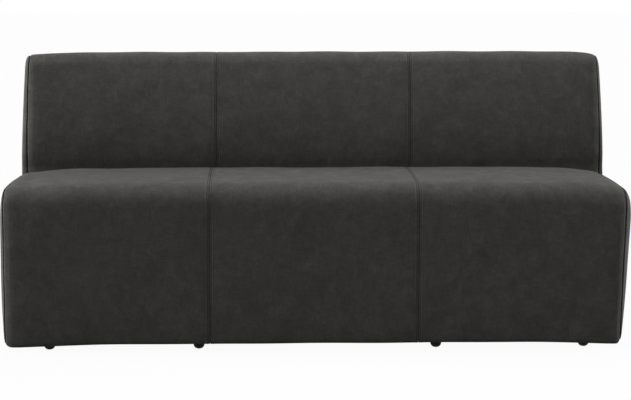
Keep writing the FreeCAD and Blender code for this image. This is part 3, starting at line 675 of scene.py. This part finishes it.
class Panel:
    """One panel of sewn cover between two seams, with its stitching lines."""

    def __init__(self, surface, start, stop, side_x, sewn_end=None):
        xs = stations(start, stop)
        base = surface(xs)
        self.normals = surface_normals(base)
        along = path_length(base)
        beside = np.minimum(xs - start, stop - xs)[:, None]
        self.plain = np.abs(np.abs(xs) + beside[:, 0] - side_x) < SEAM_GAP
        at_side = side_fold(beside) + roll(beside) * roll_share(surface, self.normals)
        relief = puckers(beside, along)
        relief += np.where(self.plain[:, None], at_side, fold(beside) + groove(beside))
        if surface is seat_surface:
            relief += gathers((side_x - np.abs(xs))[:, None], along, self.normals)
        if sewn_end is not None:
            relief += TOP_SEAM_SHARE * fold(along if sewn_end == 0 else along[:, -1:] - along)
        push = swelling(surface, xs) + unevenness(base) - relief
        self.outer = settled(base + self.normals * push[..., None])
        self.flat = stop - start, float(along[len(xs) // 2, -1])

    def stitch_lines(self):
        """The sewn lines beside the panel's stitched seams."""
        rows = FINE_STEPS, -FINE_STEPS - 1
        return [(self.outer[i], self.normals[i]) for i in rows if not self.plain[i]]

    def piece(self, name):
        return sheet_piece(name, self.outer, self.normals, COVER)


# Ends of the seat and the back


def off_frame(points):
    """Points beside the frame's ends, kept clear of them."""
    x = points[..., :1]
    return np.concatenate([np.sign(x) * np.maximum(np.abs(x), FRAME_END + LAYER_GAP), points[..., 1:]], -1)


def end_rows(shape, ring, seam_x, end_x, depth, start_x):
    """Rings of points from start_x out over a rounded end, at a depth under its outer surface."""
    angle = np.linspace(SEAM_ROLL_ANGLE, math.pi / 2, END_STEPS + 1)
    out = (np.sin(angle) - np.sin(angle[0])) / (1 - np.sin(angle[0]))
    outer_x = seam_x + (end_x - seam_x) * out
    outline = shape(outer_x, SEAM_DIP + SEAM_ROLL, 1 - np.cos(angle) / np.cos(angle[0]))
    x = outer_x - depth * np.sin(angle)
    if start_x < seam_x:
        first = shape(np.array([start_x]), SEAM_DIP + SEAM_ROLL)
        outline = np.concatenate([first, outline])
        angle = np.append(0.0, angle)
        x = np.append(start_x, x)
    corners = drawn_in(outline, depth * np.minimum(1, np.cos(angle) / math.cos(SEAM_ROLL_ANGLE)))
    return in_space(x, traced(corners, *ring, closed=True))


def closed_over(rows, height):
    """Rings that close the last row over its middle, which stands out by a height."""
    last = rows[-1]
    middle = last.mean(0)
    share = np.linspace(1, 0, END_RINGS + 1)[1:, None, None]
    rings = middle + (last - middle) * share
    rings[..., 0] += height * (1 - share[..., 0] ** 2)
    return np.concatenate([rows, rings])


def mirrored(points, side):
    return points * np.array([side, 1, 1])


def side_cover_piece(name, shape, ring, seam_x, end_x, side):
    """The cap of cover over one end, from its side seam outwards."""
    edge_x = seam_x + SIDE_SEAM_GAP
    outer = closed_over(end_rows(shape, ring, edge_x, end_x, 0.0, edge_x), END_BULGE)
    inner = closed_over(end_rows(shape, ring, edge_x, end_x, COVER, edge_x), END_BULGE)
    from_seam = np.concatenate([
        np.zeros((1, outer.shape[1])), np.cumsum(np.linalg.norm(np.diff(outer, axis=0), axis=-1), 0)
    ])
    inwards = surface_normals(outer, True) * (0, 1, 1)
    inwards /= np.maximum(np.linalg.norm(inwards, axis=-1, keepdims=True), LEAST_TURN)
    drawn = inwards * side_fold(from_seam)[..., None]
    outer, inner = outer - drawn, inner - drawn
    rows, columns = outer.shape[:2]
    count = rows * columns
    flipped = side < 0
    faces = grid_faces(rows, columns, True, flipped=flipped)
    faces += grid_faces(rows, columns, True, count, not flipped)
    faces += rim_faces(np.arange(columns), count, flipped)
    return cleaned(add_mesh(name, settled(mirrored(np.concatenate([outer, inner]), side)), faces))


def end_pad_piece(name, shape, ring, seam_x, end_x, side):
    """The foam under a side cover, a closed block from the frame's end outwards."""
    start_x = FRAME_END + LAYER_GAP
    depth = UNDER_COVER + SIDE_FOLD_DEPTH + 2 * SHADE_STRIP
    rows = closed_over(end_rows(shape, ring, seam_x, end_x, depth, start_x), END_BULGE)
    inside = closed_over(rows[:1], 0.0)[:0:-1]
    rows = np.concatenate([inside, rows])
    faces = grid_faces(*rows.shape[:2], True, flipped=side < 0)
    points = off_frame(settled(mirrored(rows, side)))
    points[..., 2] = np.maximum(points[..., 2], PAD_FOOT)
    return cleaned(add_mesh(name, points, faces))


# Stitching


def stitch_row(line, normals):
    """Threads along a line on the cover: each lies on it and dips in at both ends."""
    run = np.concatenate([[0], np.cumsum(np.linalg.norm(np.diff(line, axis=0), axis=1))])
    begin = np.arange(STITCH_PITCH, run[-1] - STITCH_PITCH, STITCH_PITCH)
    share = np.linspace(0, 1, THREAD_STEPS)
    bow = np.sin(math.pi * share)
    at = begin[:, None] + STITCH * share
    point, up = (
        np.stack([np.interp(at, run, values[:, i]) for i in range(3)], -1) for values in (line, normals)
    )
    lift = THREAD * (THREAD_LIFT * np.clip(bow, 0, None) ** 0.5 - THREAD_SUNK)
    up = unit(up)
    centre = point + up * lift[:, None]
    forward = unit(np.gradient(centre, axis=1))
    beside = unit(np.cross(forward, up))
    girth = THREAD / 2 * np.clip(bow, THREAD_TIP, None) ** 0.35
    turn = np.linspace(0, 2 * math.pi, THREAD_SIDES + 1)[:-1, None]
    ring = up[:, :, None] * np.cos(turn) + beside[:, :, None] * np.sin(turn)
    return centre[:, :, None] + ring * girth[:, None, None]


def stitching_piece(name, lines):
    points, faces, first = [], [], 0
    for line, normals in lines:
        for rings in stitch_row(line, normals):
            count, around = rings.shape[:2]
            faces += grid_faces(count, around, True, first, True)
            faces.append(list(range(first, first + around)))
            faces.append(list(range(first + count * around - 1, first + (count - 1) * around - 1, -1)))
            points.append(rings.reshape(-1, 3))
            first += count * around
    return add_mesh(name, np.concatenate(points), faces)


# Dust cloth


def dust_cloth_piece():
    """The cloth under the bench, slack between its staples and the glides."""
    shape = bmesh.new()
    shape.from_mesh(frame["nodes"]["dust_cloth"].data)
    low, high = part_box("dust_cloth")
    for axis in (0, 1):
        normal = [float(axis == i) for i in range(3)]
        for place in np.arange(low[axis] + CLOTH_CELL, high[axis], CLOTH_CELL):
            everything = shape.verts[:] + shape.edges[:] + shape.faces[:]
            on_plane = [n * place for n in normal]
            bmesh.ops.bisect_plane(shape, geom=everything, plane_co=on_plane, plane_no=normal)
    feet = [(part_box(n)[0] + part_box(n)[1]) / 2 for n in frame["nodes"] if n.startswith("glide_")]
    for point in shape.verts:
        x, y, _ = point.co
        edge = min(x - low.x, high.x - x, y - low.y, high.y - y)
        foot = min(math.hypot(x - f.x, y - f.y) for f in feet)
        held = min(edge, foot - CLOTH_FOOT)
        slack = 1 - math.exp(-(max(held, 0) / CLOTH_HELD) ** 2)
        ripple = 1 + CLOTH_RIPPLE * math.sin(x / CLOTH_HELD) * math.sin(y / CLOTH_HELD + 1)
        point.co.z -= CLOTH_SAG * slack * ripple
    mesh = bpy.data.meshes.new("dust_cloth_sheet")
    shape.to_mesh(mesh)
    shape.free()
    mesh.shade_smooth()
    mesh.set_sharp_from_angle(angle=SHARP_ANGLE)
    piece = bpy.data.objects.new("dust_cloth_sheet", mesh)
    scene.collection.objects.link(piece)
    return piece


# Materials


def srgb(red, green, blue):
    """A colour as it shows on screen, 0 to 255, as the linear colour of a shader."""
    shares = [value / 255 for value in (red, green, blue)]
    linear = [s / 12.92 if s <= 0.04045 else ((s + 0.055) / 1.055) ** 2.4 for s in shares]
    return (*linear, 1.0)


def start_material(name, roughness, specular=0.5, metallic=0.0):
    material = bpy.data.materials.new(name)
    material.use_nodes = True
    shader = material.node_tree.nodes["Principled BSDF"]
    shader.inputs["Roughness"].default_value = roughness
    shader.inputs["Specular IOR Level"].default_value = specular
    shader.inputs["Metallic"].default_value = metallic
    return material, material.node_tree, shader


def texture(tree, kind, stretch=(1, 1, 1), **settings):
    """The number of a procedural texture laid out in metres of the part itself."""
    coordinates = tree.nodes.new("ShaderNodeTexCoord")
    mapping = tree.nodes.new("ShaderNodeMapping")
    mapping.inputs["Scale"].default_value = stretch
    made = tree.nodes.new("ShaderNodeTex" + kind)
    for name, value in settings.items():
        made.inputs[name].default_value = value
    tree.links.new(coordinates.outputs["Object"], mapping.inputs["Vector"])
    tree.links.new(mapping.outputs["Vector"], made.inputs["Vector"])
    return next(made.outputs[n] for n in ("Fac", "Distance", "Color") if n in made.outputs)


def shades(tree, number, *stops):
    """Colours picked by a number from stops of (place, colour)."""
    ramp = tree.nodes.new("ShaderNodeValToRGB")
    elements = ramp.color_ramp.elements
    while len(elements) < len(stops):
        elements.new(0.5)
    for element, (place, colour) in zip(elements, stops):
        element.position = place
        element.color = colour
    tree.links.new(number, ramp.inputs["Fac"])
    return ramp.outputs["Color"]


def coloured(tree, shader, colour):
    tree.links.new(colour, shader.inputs["Base Color"])


def multiplied(tree, first, second):
    mix = tree.nodes.new("ShaderNodeMix")
    mix.data_type = "RGBA"
    mix.blend_type = "MULTIPLY"
    mix.inputs["Factor"].default_value = 1.0
    tree.links.new(first, mix.inputs["A"])
    tree.links.new(second, mix.inputs["B"])
    return mix.outputs["Result"]


def between(tree, number, low, high):
    """A number from 0 to 1 carried over to a range."""
    scaled = tree.nodes.new("ShaderNodeMapRange")
    scaled.inputs["To Min"].default_value = low
    scaled.inputs["To Max"].default_value = high
    tree.links.new(number, scaled.inputs["Value"])
    return scaled.outputs["Result"]


def bumped(tree, shader, *layers):
    """Relief from layers of (height, depth in metres), the coarsest first."""
    normal = None
    for height, depth in layers:
        bump = tree.nodes.new("ShaderNodeBump")
        bump.inputs["Distance"].default_value = depth
        tree.links.new(height, bump.inputs["Height"])
        if normal is not None:
            tree.links.new(normal, bump.inputs["Normal"])
        normal = bump.outputs["Normal"]
    tree.links.new(normal, shader.inputs["Normal"])


def grey(value):
    return (value, value, value, 1.0)


def upholstery():
    """Charcoal cover with a soft nap: cloudy shading and a fine grain."""
    material, tree, shader = start_material("charcoal_cover", 0.85, specular=0.09)
    clouds = texture(tree, "Noise", Scale=24, Detail=7, Roughness=0.68, Distortion=0.6)
    nap = texture(tree, "Noise", Scale=140, Detail=5, Roughness=0.7)
    grain = texture(tree, "Voronoi", Scale=620)
    cover_tones = (0.32, srgb(87, 86, 83)), (0.5, srgb(94, 93, 90)), (0.68, srgb(103, 101, 98))
    tone = shades(tree, clouds, *cover_tones)
    flecks = shades(tree, nap, (0.30, grey(0.82)), (0.70, grey(1.0)))
    tone = multiplied(tree, tone, flecks)
    for stretch in ((0.2, 1, 1), (1, 0.2, 0.2)):
        streaks = texture(tree, "Noise", stretch=stretch, Scale=240, Detail=3)
        tone = multiplied(tree, tone, shades(tree, streaks, (0.35, grey(0.88)), (0.65, grey(1.0))))
    coloured(tree, shader, tone)
    tree.links.new(between(tree, clouds, 0.95, 0.76), shader.inputs["Roughness"])
    bumped(tree, shader, (clouds, 0.0009), (nap, 0.0003), (grain, 0.00012))
    return material


def thread():
    """Dark twisted sewing thread; the same material darkens the strips of painted shade behind the seams and
    at the joint.
    """
    material, tree, shader = start_material("dark_thread_and_painted_seam_shade", 0.6, specular=0.3)
    twist = texture(tree, "Wave", Scale=420, Distortion=1.5)
    coloured(tree, shader, shades(tree, twist, (0.2, srgb(34, 34, 33)), (0.8, srgb(56, 55, 54))))
    bumped(tree, shader, (twist, 0.0001))
    return material


def plywood():
    material, tree, shader = start_material("birch_plywood", 0.55, specular=0.3)
    plies = texture(tree, "Wave", Scale=110, Distortion=0.4)
    fibre = texture(tree, "Noise", stretch=(4, 30, 30), Scale=9, Detail=6, Roughness=0.6)
    tone = shades(tree, fibre, (0.3, srgb(196, 160, 112)), (0.7, srgb(222, 190, 146)))
    lines = shades(tree, plies, (0.1, grey(0.82)), (0.5, grey(1.0)))
    coloured(tree, shader, multiplied(tree, tone, lines))
    bumped(tree, shader, (fibre, 0.0003))
    return material


def pine():
    material, tree, shader = start_material("sawn_pine", 0.6, specular=0.3)
    rings = texture(tree, "Wave", stretch=(0.15, 1, 1), Scale=34, Distortion=5, Detail=3)
    fibre = texture(tree, "Noise", stretch=(3, 60, 60), Scale=8, Detail=5)
    tone = shades(tree, rings, (0.2, srgb(226, 190, 136)), (0.8, srgb(196, 148, 92)))
    streaks = shades(tree, fibre, (0.3, grey(0.86)), (0.7, grey(1.0)))
    coloured(tree, shader, multiplied(tree, tone, streaks))
    bumped(tree, shader, (fibre, 0.0004))
    return material


def hardboard():
    material, tree, shader = start_material("brown_hardboard", 0.7, specular=0.25)
    fibres = texture(tree, "Noise", Scale=190, Detail=7, Roughness=0.75)
    tone = shades(tree, fibres, (0.3, srgb(98, 70, 46)), (0.7, srgb(138, 104, 72)))
    coloured(tree, shader, tone)
    bumped(tree, shader, (fibres, 0.0002))
    return material


def foam():
    material, tree, shader = start_material("cut_foam", 0.95, specular=0.1)
    cells = texture(tree, "Voronoi", Scale=450)
    clouds = texture(tree, "Noise", Scale=12, Detail=3)
    tone = shades(tree, clouds, (0.3, srgb(226, 218, 190)), (0.7, srgb(236, 229, 204)))
    pores = shades(tree, cells, (0.05, grey(0.72)), (0.45, grey(1.0)))
    coloured(tree, shader, multiplied(tree, tone, pores))
    bumped(tree, shader, (cells, 0.0006))
    return material


def wadding():
    material, tree, shader = start_material("fibre_wadding", 0.95, specular=0.1)
    tufts = texture(tree, "Noise", Scale=60, Detail=8, Roughness=0.8, Distortion=2)
    coloured(tree, shader, shades(tree, tufts, (0.3, srgb(222, 222, 218)), (0.7, srgb(244, 244, 241))))
    bumped(tree, shader, (tufts, 0.002))
    return material


def felt():
    material, tree, shader = start_material("recycled_felt", 0.95, specular=0.1)
    fibres = texture(tree, "Noise", Scale=260, Detail=8, Roughness=0.8)
    felt_tones = (0.3, srgb(82, 82, 86)), (0.5, srgb(118, 116, 112)), (0.7, srgb(146, 132, 122))
    tone = shades(tree, fibres, *felt_tones)
    coloured(tree, shader, tone)
    bumped(tree, shader, (fibres, 0.0006))
    return material


def webbing():
    material, tree, shader = start_material("elastic_webbing", 0.8, specular=0.2)
    ribs = texture(tree, "Wave", Scale=160)
    yarn = texture(tree, "Noise", Scale=500, Detail=3)
    tone = shades(tree, ribs, (0.2, srgb(62, 62, 62)), (0.8, srgb(108, 108, 106)))
    threads = shades(tree, yarn, (0.3, grey(0.8)), (0.7, grey(1.0)))
    coloured(tree, shader, multiplied(tree, tone, threads))
    bumped(tree, shader, (ribs, 0.0005), (yarn, 0.0002))
    return material


def dust_cloth():
    material, tree, shader = start_material("black_dust_cloth", 0.9, specular=0.15)
    fibres = texture(tree, "Noise", Scale=320, Detail=7, Roughness=0.8)
    dimples = texture(tree, "Voronoi", Scale=420)
    coloured(tree, shader, shades(tree, fibres, (0.3, srgb(28, 28, 28)), (0.7, srgb(52, 52, 52))))
    bumped(tree, shader, (fibres, 0.0003), (dimples, 0.0003))
    return material


def spring_steel():
    material, tree, shader = start_material("oiled_spring_steel", 0.38, metallic=1.0)
    drawn = texture(tree, "Noise", stretch=(40, 40, 8), Scale=20, Detail=4)
    coloured(tree, shader, shades(tree, drawn, (0.3, srgb(104, 104, 106)), (0.7, srgb(148, 148, 150))))
    tree.links.new(between(tree, drawn, 0.28, 0.5), shader.inputs["Roughness"])
    return material


def zinc_steel():
    material, tree, shader = start_material("zinc_plated_steel", 0.32, metallic=1.0)
    spangle = texture(tree, "Voronoi", Scale=260)
    coloured(tree, shader, shades(tree, spangle, (0.1, srgb(178, 180, 184)), (0.6, srgb(206, 207, 210))))
    tree.links.new(between(tree, spangle, 0.22, 0.42), shader.inputs["Roughness"])
    return material


def glide_plastic():
    """Black moulded plastic with a fine spark-eroded texture."""
    material, tree, shader = start_material("black_moulded_plastic", 0.6, specular=0.12)
    spark = texture(tree, "Noise", Scale=900, Detail=3)
    worn = texture(tree, "Noise", Scale=60, Detail=5)
    coloured(tree, shader, shades(tree, worn, (0.3, srgb(10, 10, 10)), (0.75, srgb(24, 24, 24))))
    tree.links.new(between(tree, worn, 0.5, 0.7), shader.inputs["Roughness"])
    bumped(tree, shader, (spark, 0.0001))
    return material


MATERIALS = {make.__name__: make() for make in (
    upholstery, plywood, pine, hardboard, foam, wadding, felt, webbing,
    dust_cloth, spring_steel, zinc_steel, glide_plastic,
)}
# The thread's material also colours the dark strips of painted shade behind the seams and at the joint
THREAD_AND_SHADE_MATERIAL = thread()


def dressed(piece, material):
    piece.data.materials.clear()
    piece.data.materials.append(material)


def placed(piece, node, slot):
    """A piece that stands for a node of the bench."""
    dressed(piece, MATERIALS[slot])
    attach(piece, "bench")
    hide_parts(node)
    return piece


def dress_frame():
    for part in frame["record"]["subparts"]:
        dressed(frame["nodes"][part["node"]], MATERIALS[part["material_slot"]])


def sewn_panels():
    """Every panel of the cover by the name of its node."""
    places = {
        "left": (-math.inf, -PANEL_SEAM_X),
        "middle": (-PANEL_SEAM_X, PANEL_SEAM_X),
        "right": (PANEL_SEAM_X, math.inf),
    }
    panels = {}
    for unit_name, surface, side_x, sewn_end in (
        ("seat", seat_surface, SEAT_SEAM_X, None), ("back", back_surface, BACK_SEAM_X, -1),
    ):
        for place, (start, stop) in places.items():
            ends = max(start, -side_x), min(stop, side_x)
            panels[f"{unit_name}_cover_{place}"] = Panel(surface, *ends, side_x, sewn_end)
    panels["rear_cover"] = Panel(rear_surface, -BACK_SEAM_X, BACK_SEAM_X, BACK_SEAM_X, 0)
    return panels


def build_panels():
    for node, panel in sewn_panels().items():
        piece = placed(panel.piece(node + "_leather"), node, "upholstery")
        if panel.stitch_lines():
            sewn(stitching_piece(node + "_stitching", panel.stitch_lines()))


def sewn(piece):
    """Thread, and the dark strips of painted shade behind the seams and at the joint, go with the cover."""
    dressed(piece, THREAD_AND_SHADE_MATERIAL)
    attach(piece, "bench")


def shade_strip_stations(seam_x, at_side):
    """Places along x over a painted-shade strip's width; at a side seam it reaches further in under the
    panel.
    """
    low = high = SHADE_STRIP_WIDTH / 2
    if at_side:
        low, high = (SHADE_STRIP_REACH, high) if seam_x > 0 else (low, SHADE_STRIP_REACH)
    return np.linspace(seam_x - low, seam_x + high, SHADE_STRIP_COLUMNS)


def build_seam_shade_strips():
    """A dark strip behind every seam fills the gap between the turned edges: painted shade, dark where the
    seam's ditch would lie in shadow.
    """
    middle_seams = {"left": -PANEL_SEAM_X, "right": PANEL_SEAM_X}
    for unit_name, surface, side_x, seams in (
        ("seat", seat_surface, SEAT_SEAM_X, middle_seams),
        ("back", back_surface, BACK_SEAM_X, middle_seams),
        ("rear", rear_surface, BACK_SEAM_X, {}),
    ):
        for place, seam_x in {"side_left": -side_x, "side_right": side_x, **seams}.items():
            at_side = place.startswith("side")
            # Each strip is painted shade: a dark sheet in the seam's gap, where the ditch would be in shadow
            base = surface(shade_strip_stations(seam_x, at_side), SEAM_DIP + SEAM_ROLL * at_side)
            strip = settled(base - surface_normals(base) * (SIDE_FOLD_DEPTH + UNDER_COVER))
            sewn(sheet_piece(f"{unit_name}_seam_shade_strip_{place}", strip, surface_normals(strip), SHADE_STRIP))


def build_joint_shade_strips():
    """A dark strip lines the joint between seat and back where it opens at both ends: painted shade in the
    crease.
    """
    seat_y = SEAT_REAR_Y - JOINT_SHADE_STRIP_DEPTH
    back_y = BACK_FRONT_Y + SEAM_DIP + SEAM_ROLL + JOINT_SHADE_STRIP_DEPTH
    frame_x = FRAME_END + LAYER_GAP + SHADE_STRIP
    seat_x, back_x = (seam_x + SHADE_STRIP_WIDTH / 2 for seam_x in (SEAT_SEAM_X, BACK_SEAM_X))
    corners = (seat_x, seat_y), (frame_x, seat_y), (frame_x, back_y), (back_x, back_y)
    heights = np.linspace(FLOOR_GAP, FLAP_Z - LAYER_GAP, JOINT_SHADE_STRIP_ROWS)
    for place, side in (("left", -1), ("right", 1)):
        strip = np.array([[(side * x, y, z) for z in heights] for x, y in corners])
        strip = off_frame(settled(strip))
        # Each strip is painted shade: a dark sheet in the open joint, where there is only shadow
        sewn(sheet_piece("joint_shade_strip_" + place, strip, surface_normals(strip), SHADE_STRIP))


def build_wraps():
    """The wadding wrapped over the foam under the panels."""
    xs = np.linspace(-FRAME_END, FRAME_END, round(2 * FRAME_END / PANEL_STEP / 2))
    depth = SEAM_DIP + SIDE_FOLD_DEPTH + UNDER_COVER + 2 * SHADE_STRIP + WADDING_SETBACK
    for unit_name, surface in (("seat", seat_wrap_surface), ("back", back_surface)):
        outer = settled(surface(xs, depth), WADDING_TUCK_SHARE)
        piece = sheet_piece(unit_name + "_padding_wrap", outer, surface_normals(outer), WADDING)
        placed(piece, unit_name + "_wadding", "wadding")


def build_ends():
    for unit_name, shape, ring, seam_x, end_x in (
        ("seat", seat_outlines, SEAT_RING, SEAT_SEAM_X, HALF),
        ("back", back_outlines, BACK_RING, BACK_SEAM_X, BACK_END_X),
    ):
        for place, side in (("left", -1), ("right", 1)):
            pad_node = f"{unit_name}_end_pad_{place}"
            pad = end_pad_piece(pad_node + "_foam", shape, ring, seam_x, end_x, side)
            placed(pad, pad_node, "foam")
            cover_node = f"{unit_name}_side_cover_{place}"
            cover = side_cover_piece(cover_node + "_leather", shape, ring, seam_x, end_x, side)
            placed(cover, cover_node, "upholstery")


def build_dust_cloth():
    piece = placed(dust_cloth_piece(), "dust_cloth", "dust_cloth")


# Studio


def seen_directly(tree):
    """One number that is 1 for rays that show the background itself, and 0 for the light it gives."""
    path = tree.nodes.new("ShaderNodeLightPath")
    total = path.outputs["Is Camera Ray"]
    for kind in ("Is Glossy Ray", "Is Transmission Ray"):
        more = tree.nodes.new("ShaderNodeMath")
        more.operation = "MAXIMUM"
        tree.links.new(total, more.inputs[0])
        tree.links.new(path.outputs[kind], more.inputs[1])
        total = more.outputs["Value"]
    return total


def mixed_shader(tree, factor, first, second):
    mix = tree.nodes.new("ShaderNodeMixShader")
    if isinstance(factor, float):
        mix.inputs["Fac"].default_value = factor
    else:
        tree.links.new(factor, mix.inputs["Fac"])
    tree.links.new(first.outputs[0], mix.inputs[1])
    tree.links.new(second.outputs[0], mix.inputs[2])
    return mix


def build_world():
    world = bpy.data.worlds.new("studio")
    world.use_nodes = True
    tree = world.node_tree
    tree.nodes.clear()
    light, shown = (tree.nodes.new("ShaderNodeBackground") for _ in range(2))
    light.inputs["Strength"].default_value = AMBIENT
    light.inputs["Color"].default_value = grey(1.0)
    shown.inputs["Color"].default_value = grey(1.0)
    mix = mixed_shader(tree, seen_directly(tree), light, shown)
    output = tree.nodes.new("ShaderNodeOutputWorld")
    tree.links.new(mix.outputs[0], output.inputs["Surface"])
    scene.world = world


def build_floor():
    """A plain pale floor that keeps a soft shadow."""
    half = FLOOR_SIZE / 2
    corners = np.array([(-half, -half, 0), (half, -half, 0), (half, half, 0), (-half, half, 0)], float)
    floor = add_mesh("floor", corners, [[0, 1, 2, 3]])
    material = bpy.data.materials.new("pale_floor")
    material.use_nodes = True
    tree = material.node_tree
    tree.nodes.clear()
    pale, shade = (tree.nodes.new("ShaderNodeBsdfDiffuse") for _ in range(2))
    glow = tree.nodes.new("ShaderNodeEmission")
    pale.inputs["Color"].default_value = grey(FLOOR_BOUNCE)
    shade.inputs["Color"].default_value = grey(FLOOR_SHADE)
    glow.inputs["Color"].default_value = grey(1.0)
    shown = mixed_shader(tree, FLOOR_GLOW, shade, glow)
    mix = mixed_shader(tree, seen_directly(tree), pale, shown)
    output = tree.nodes.new("ShaderNodeOutputMaterial")
    tree.links.new(mix.outputs[0], output.inputs["Surface"])
    dressed(floor, material)


def add_lamp(name, kind, strength):
    lamp = bpy.data.lights.new(name, kind)
    lamp.energy = strength
    holder = bpy.data.objects.new(name, lamp)
    scene.collection.objects.link(holder)
    return lamp, holder


def build_lamps():
    """A broad panel above the bench and a soft light from each side."""
    lamp, holder = add_lamp("top_panel", "AREA", TOP_POWER)
    lamp.shape = "RECTANGLE"
    lamp.size, lamp.size_y = TOP_SIZE
    holder.location = TOP_PLACE
    for place, side in (("left", -1), ("right", 1)):
        lamp, holder = add_lamp("side_light_" + place, "SUN", SIDE_STRENGTHS[place])
        lamp.angle = SIDE_SOFTNESS
        holder.rotation_euler = 0, side * (math.pi / 2 - SIDE_HEIGHT), side * SIDE_BEHIND[place]


def build_camera():
    lens = bpy.data.cameras.new("camera")
    lens.sensor_width = SENSOR
    lens.lens = SENSOR * FOCAL_PIXELS / IMAGE_WIDTH
    camera = bpy.data.objects.new("camera", lens)
    camera.location = CAMERA_PLACE
    camera.rotation_euler = (math.pi / 2 - CAMERA_PITCH, 0, -CAMERA_YAW)
    scene.collection.objects.link(camera)
    scene.camera = camera


scene.view_settings.view_transform = "Standard"
build_camera()
build_world()
build_lamps()
build_floor()
dress_frame()
build_wraps()
build_panels()
build_seam_shade_strips()
build_joint_shade_strips()
build_ends()
build_dust_cloth()
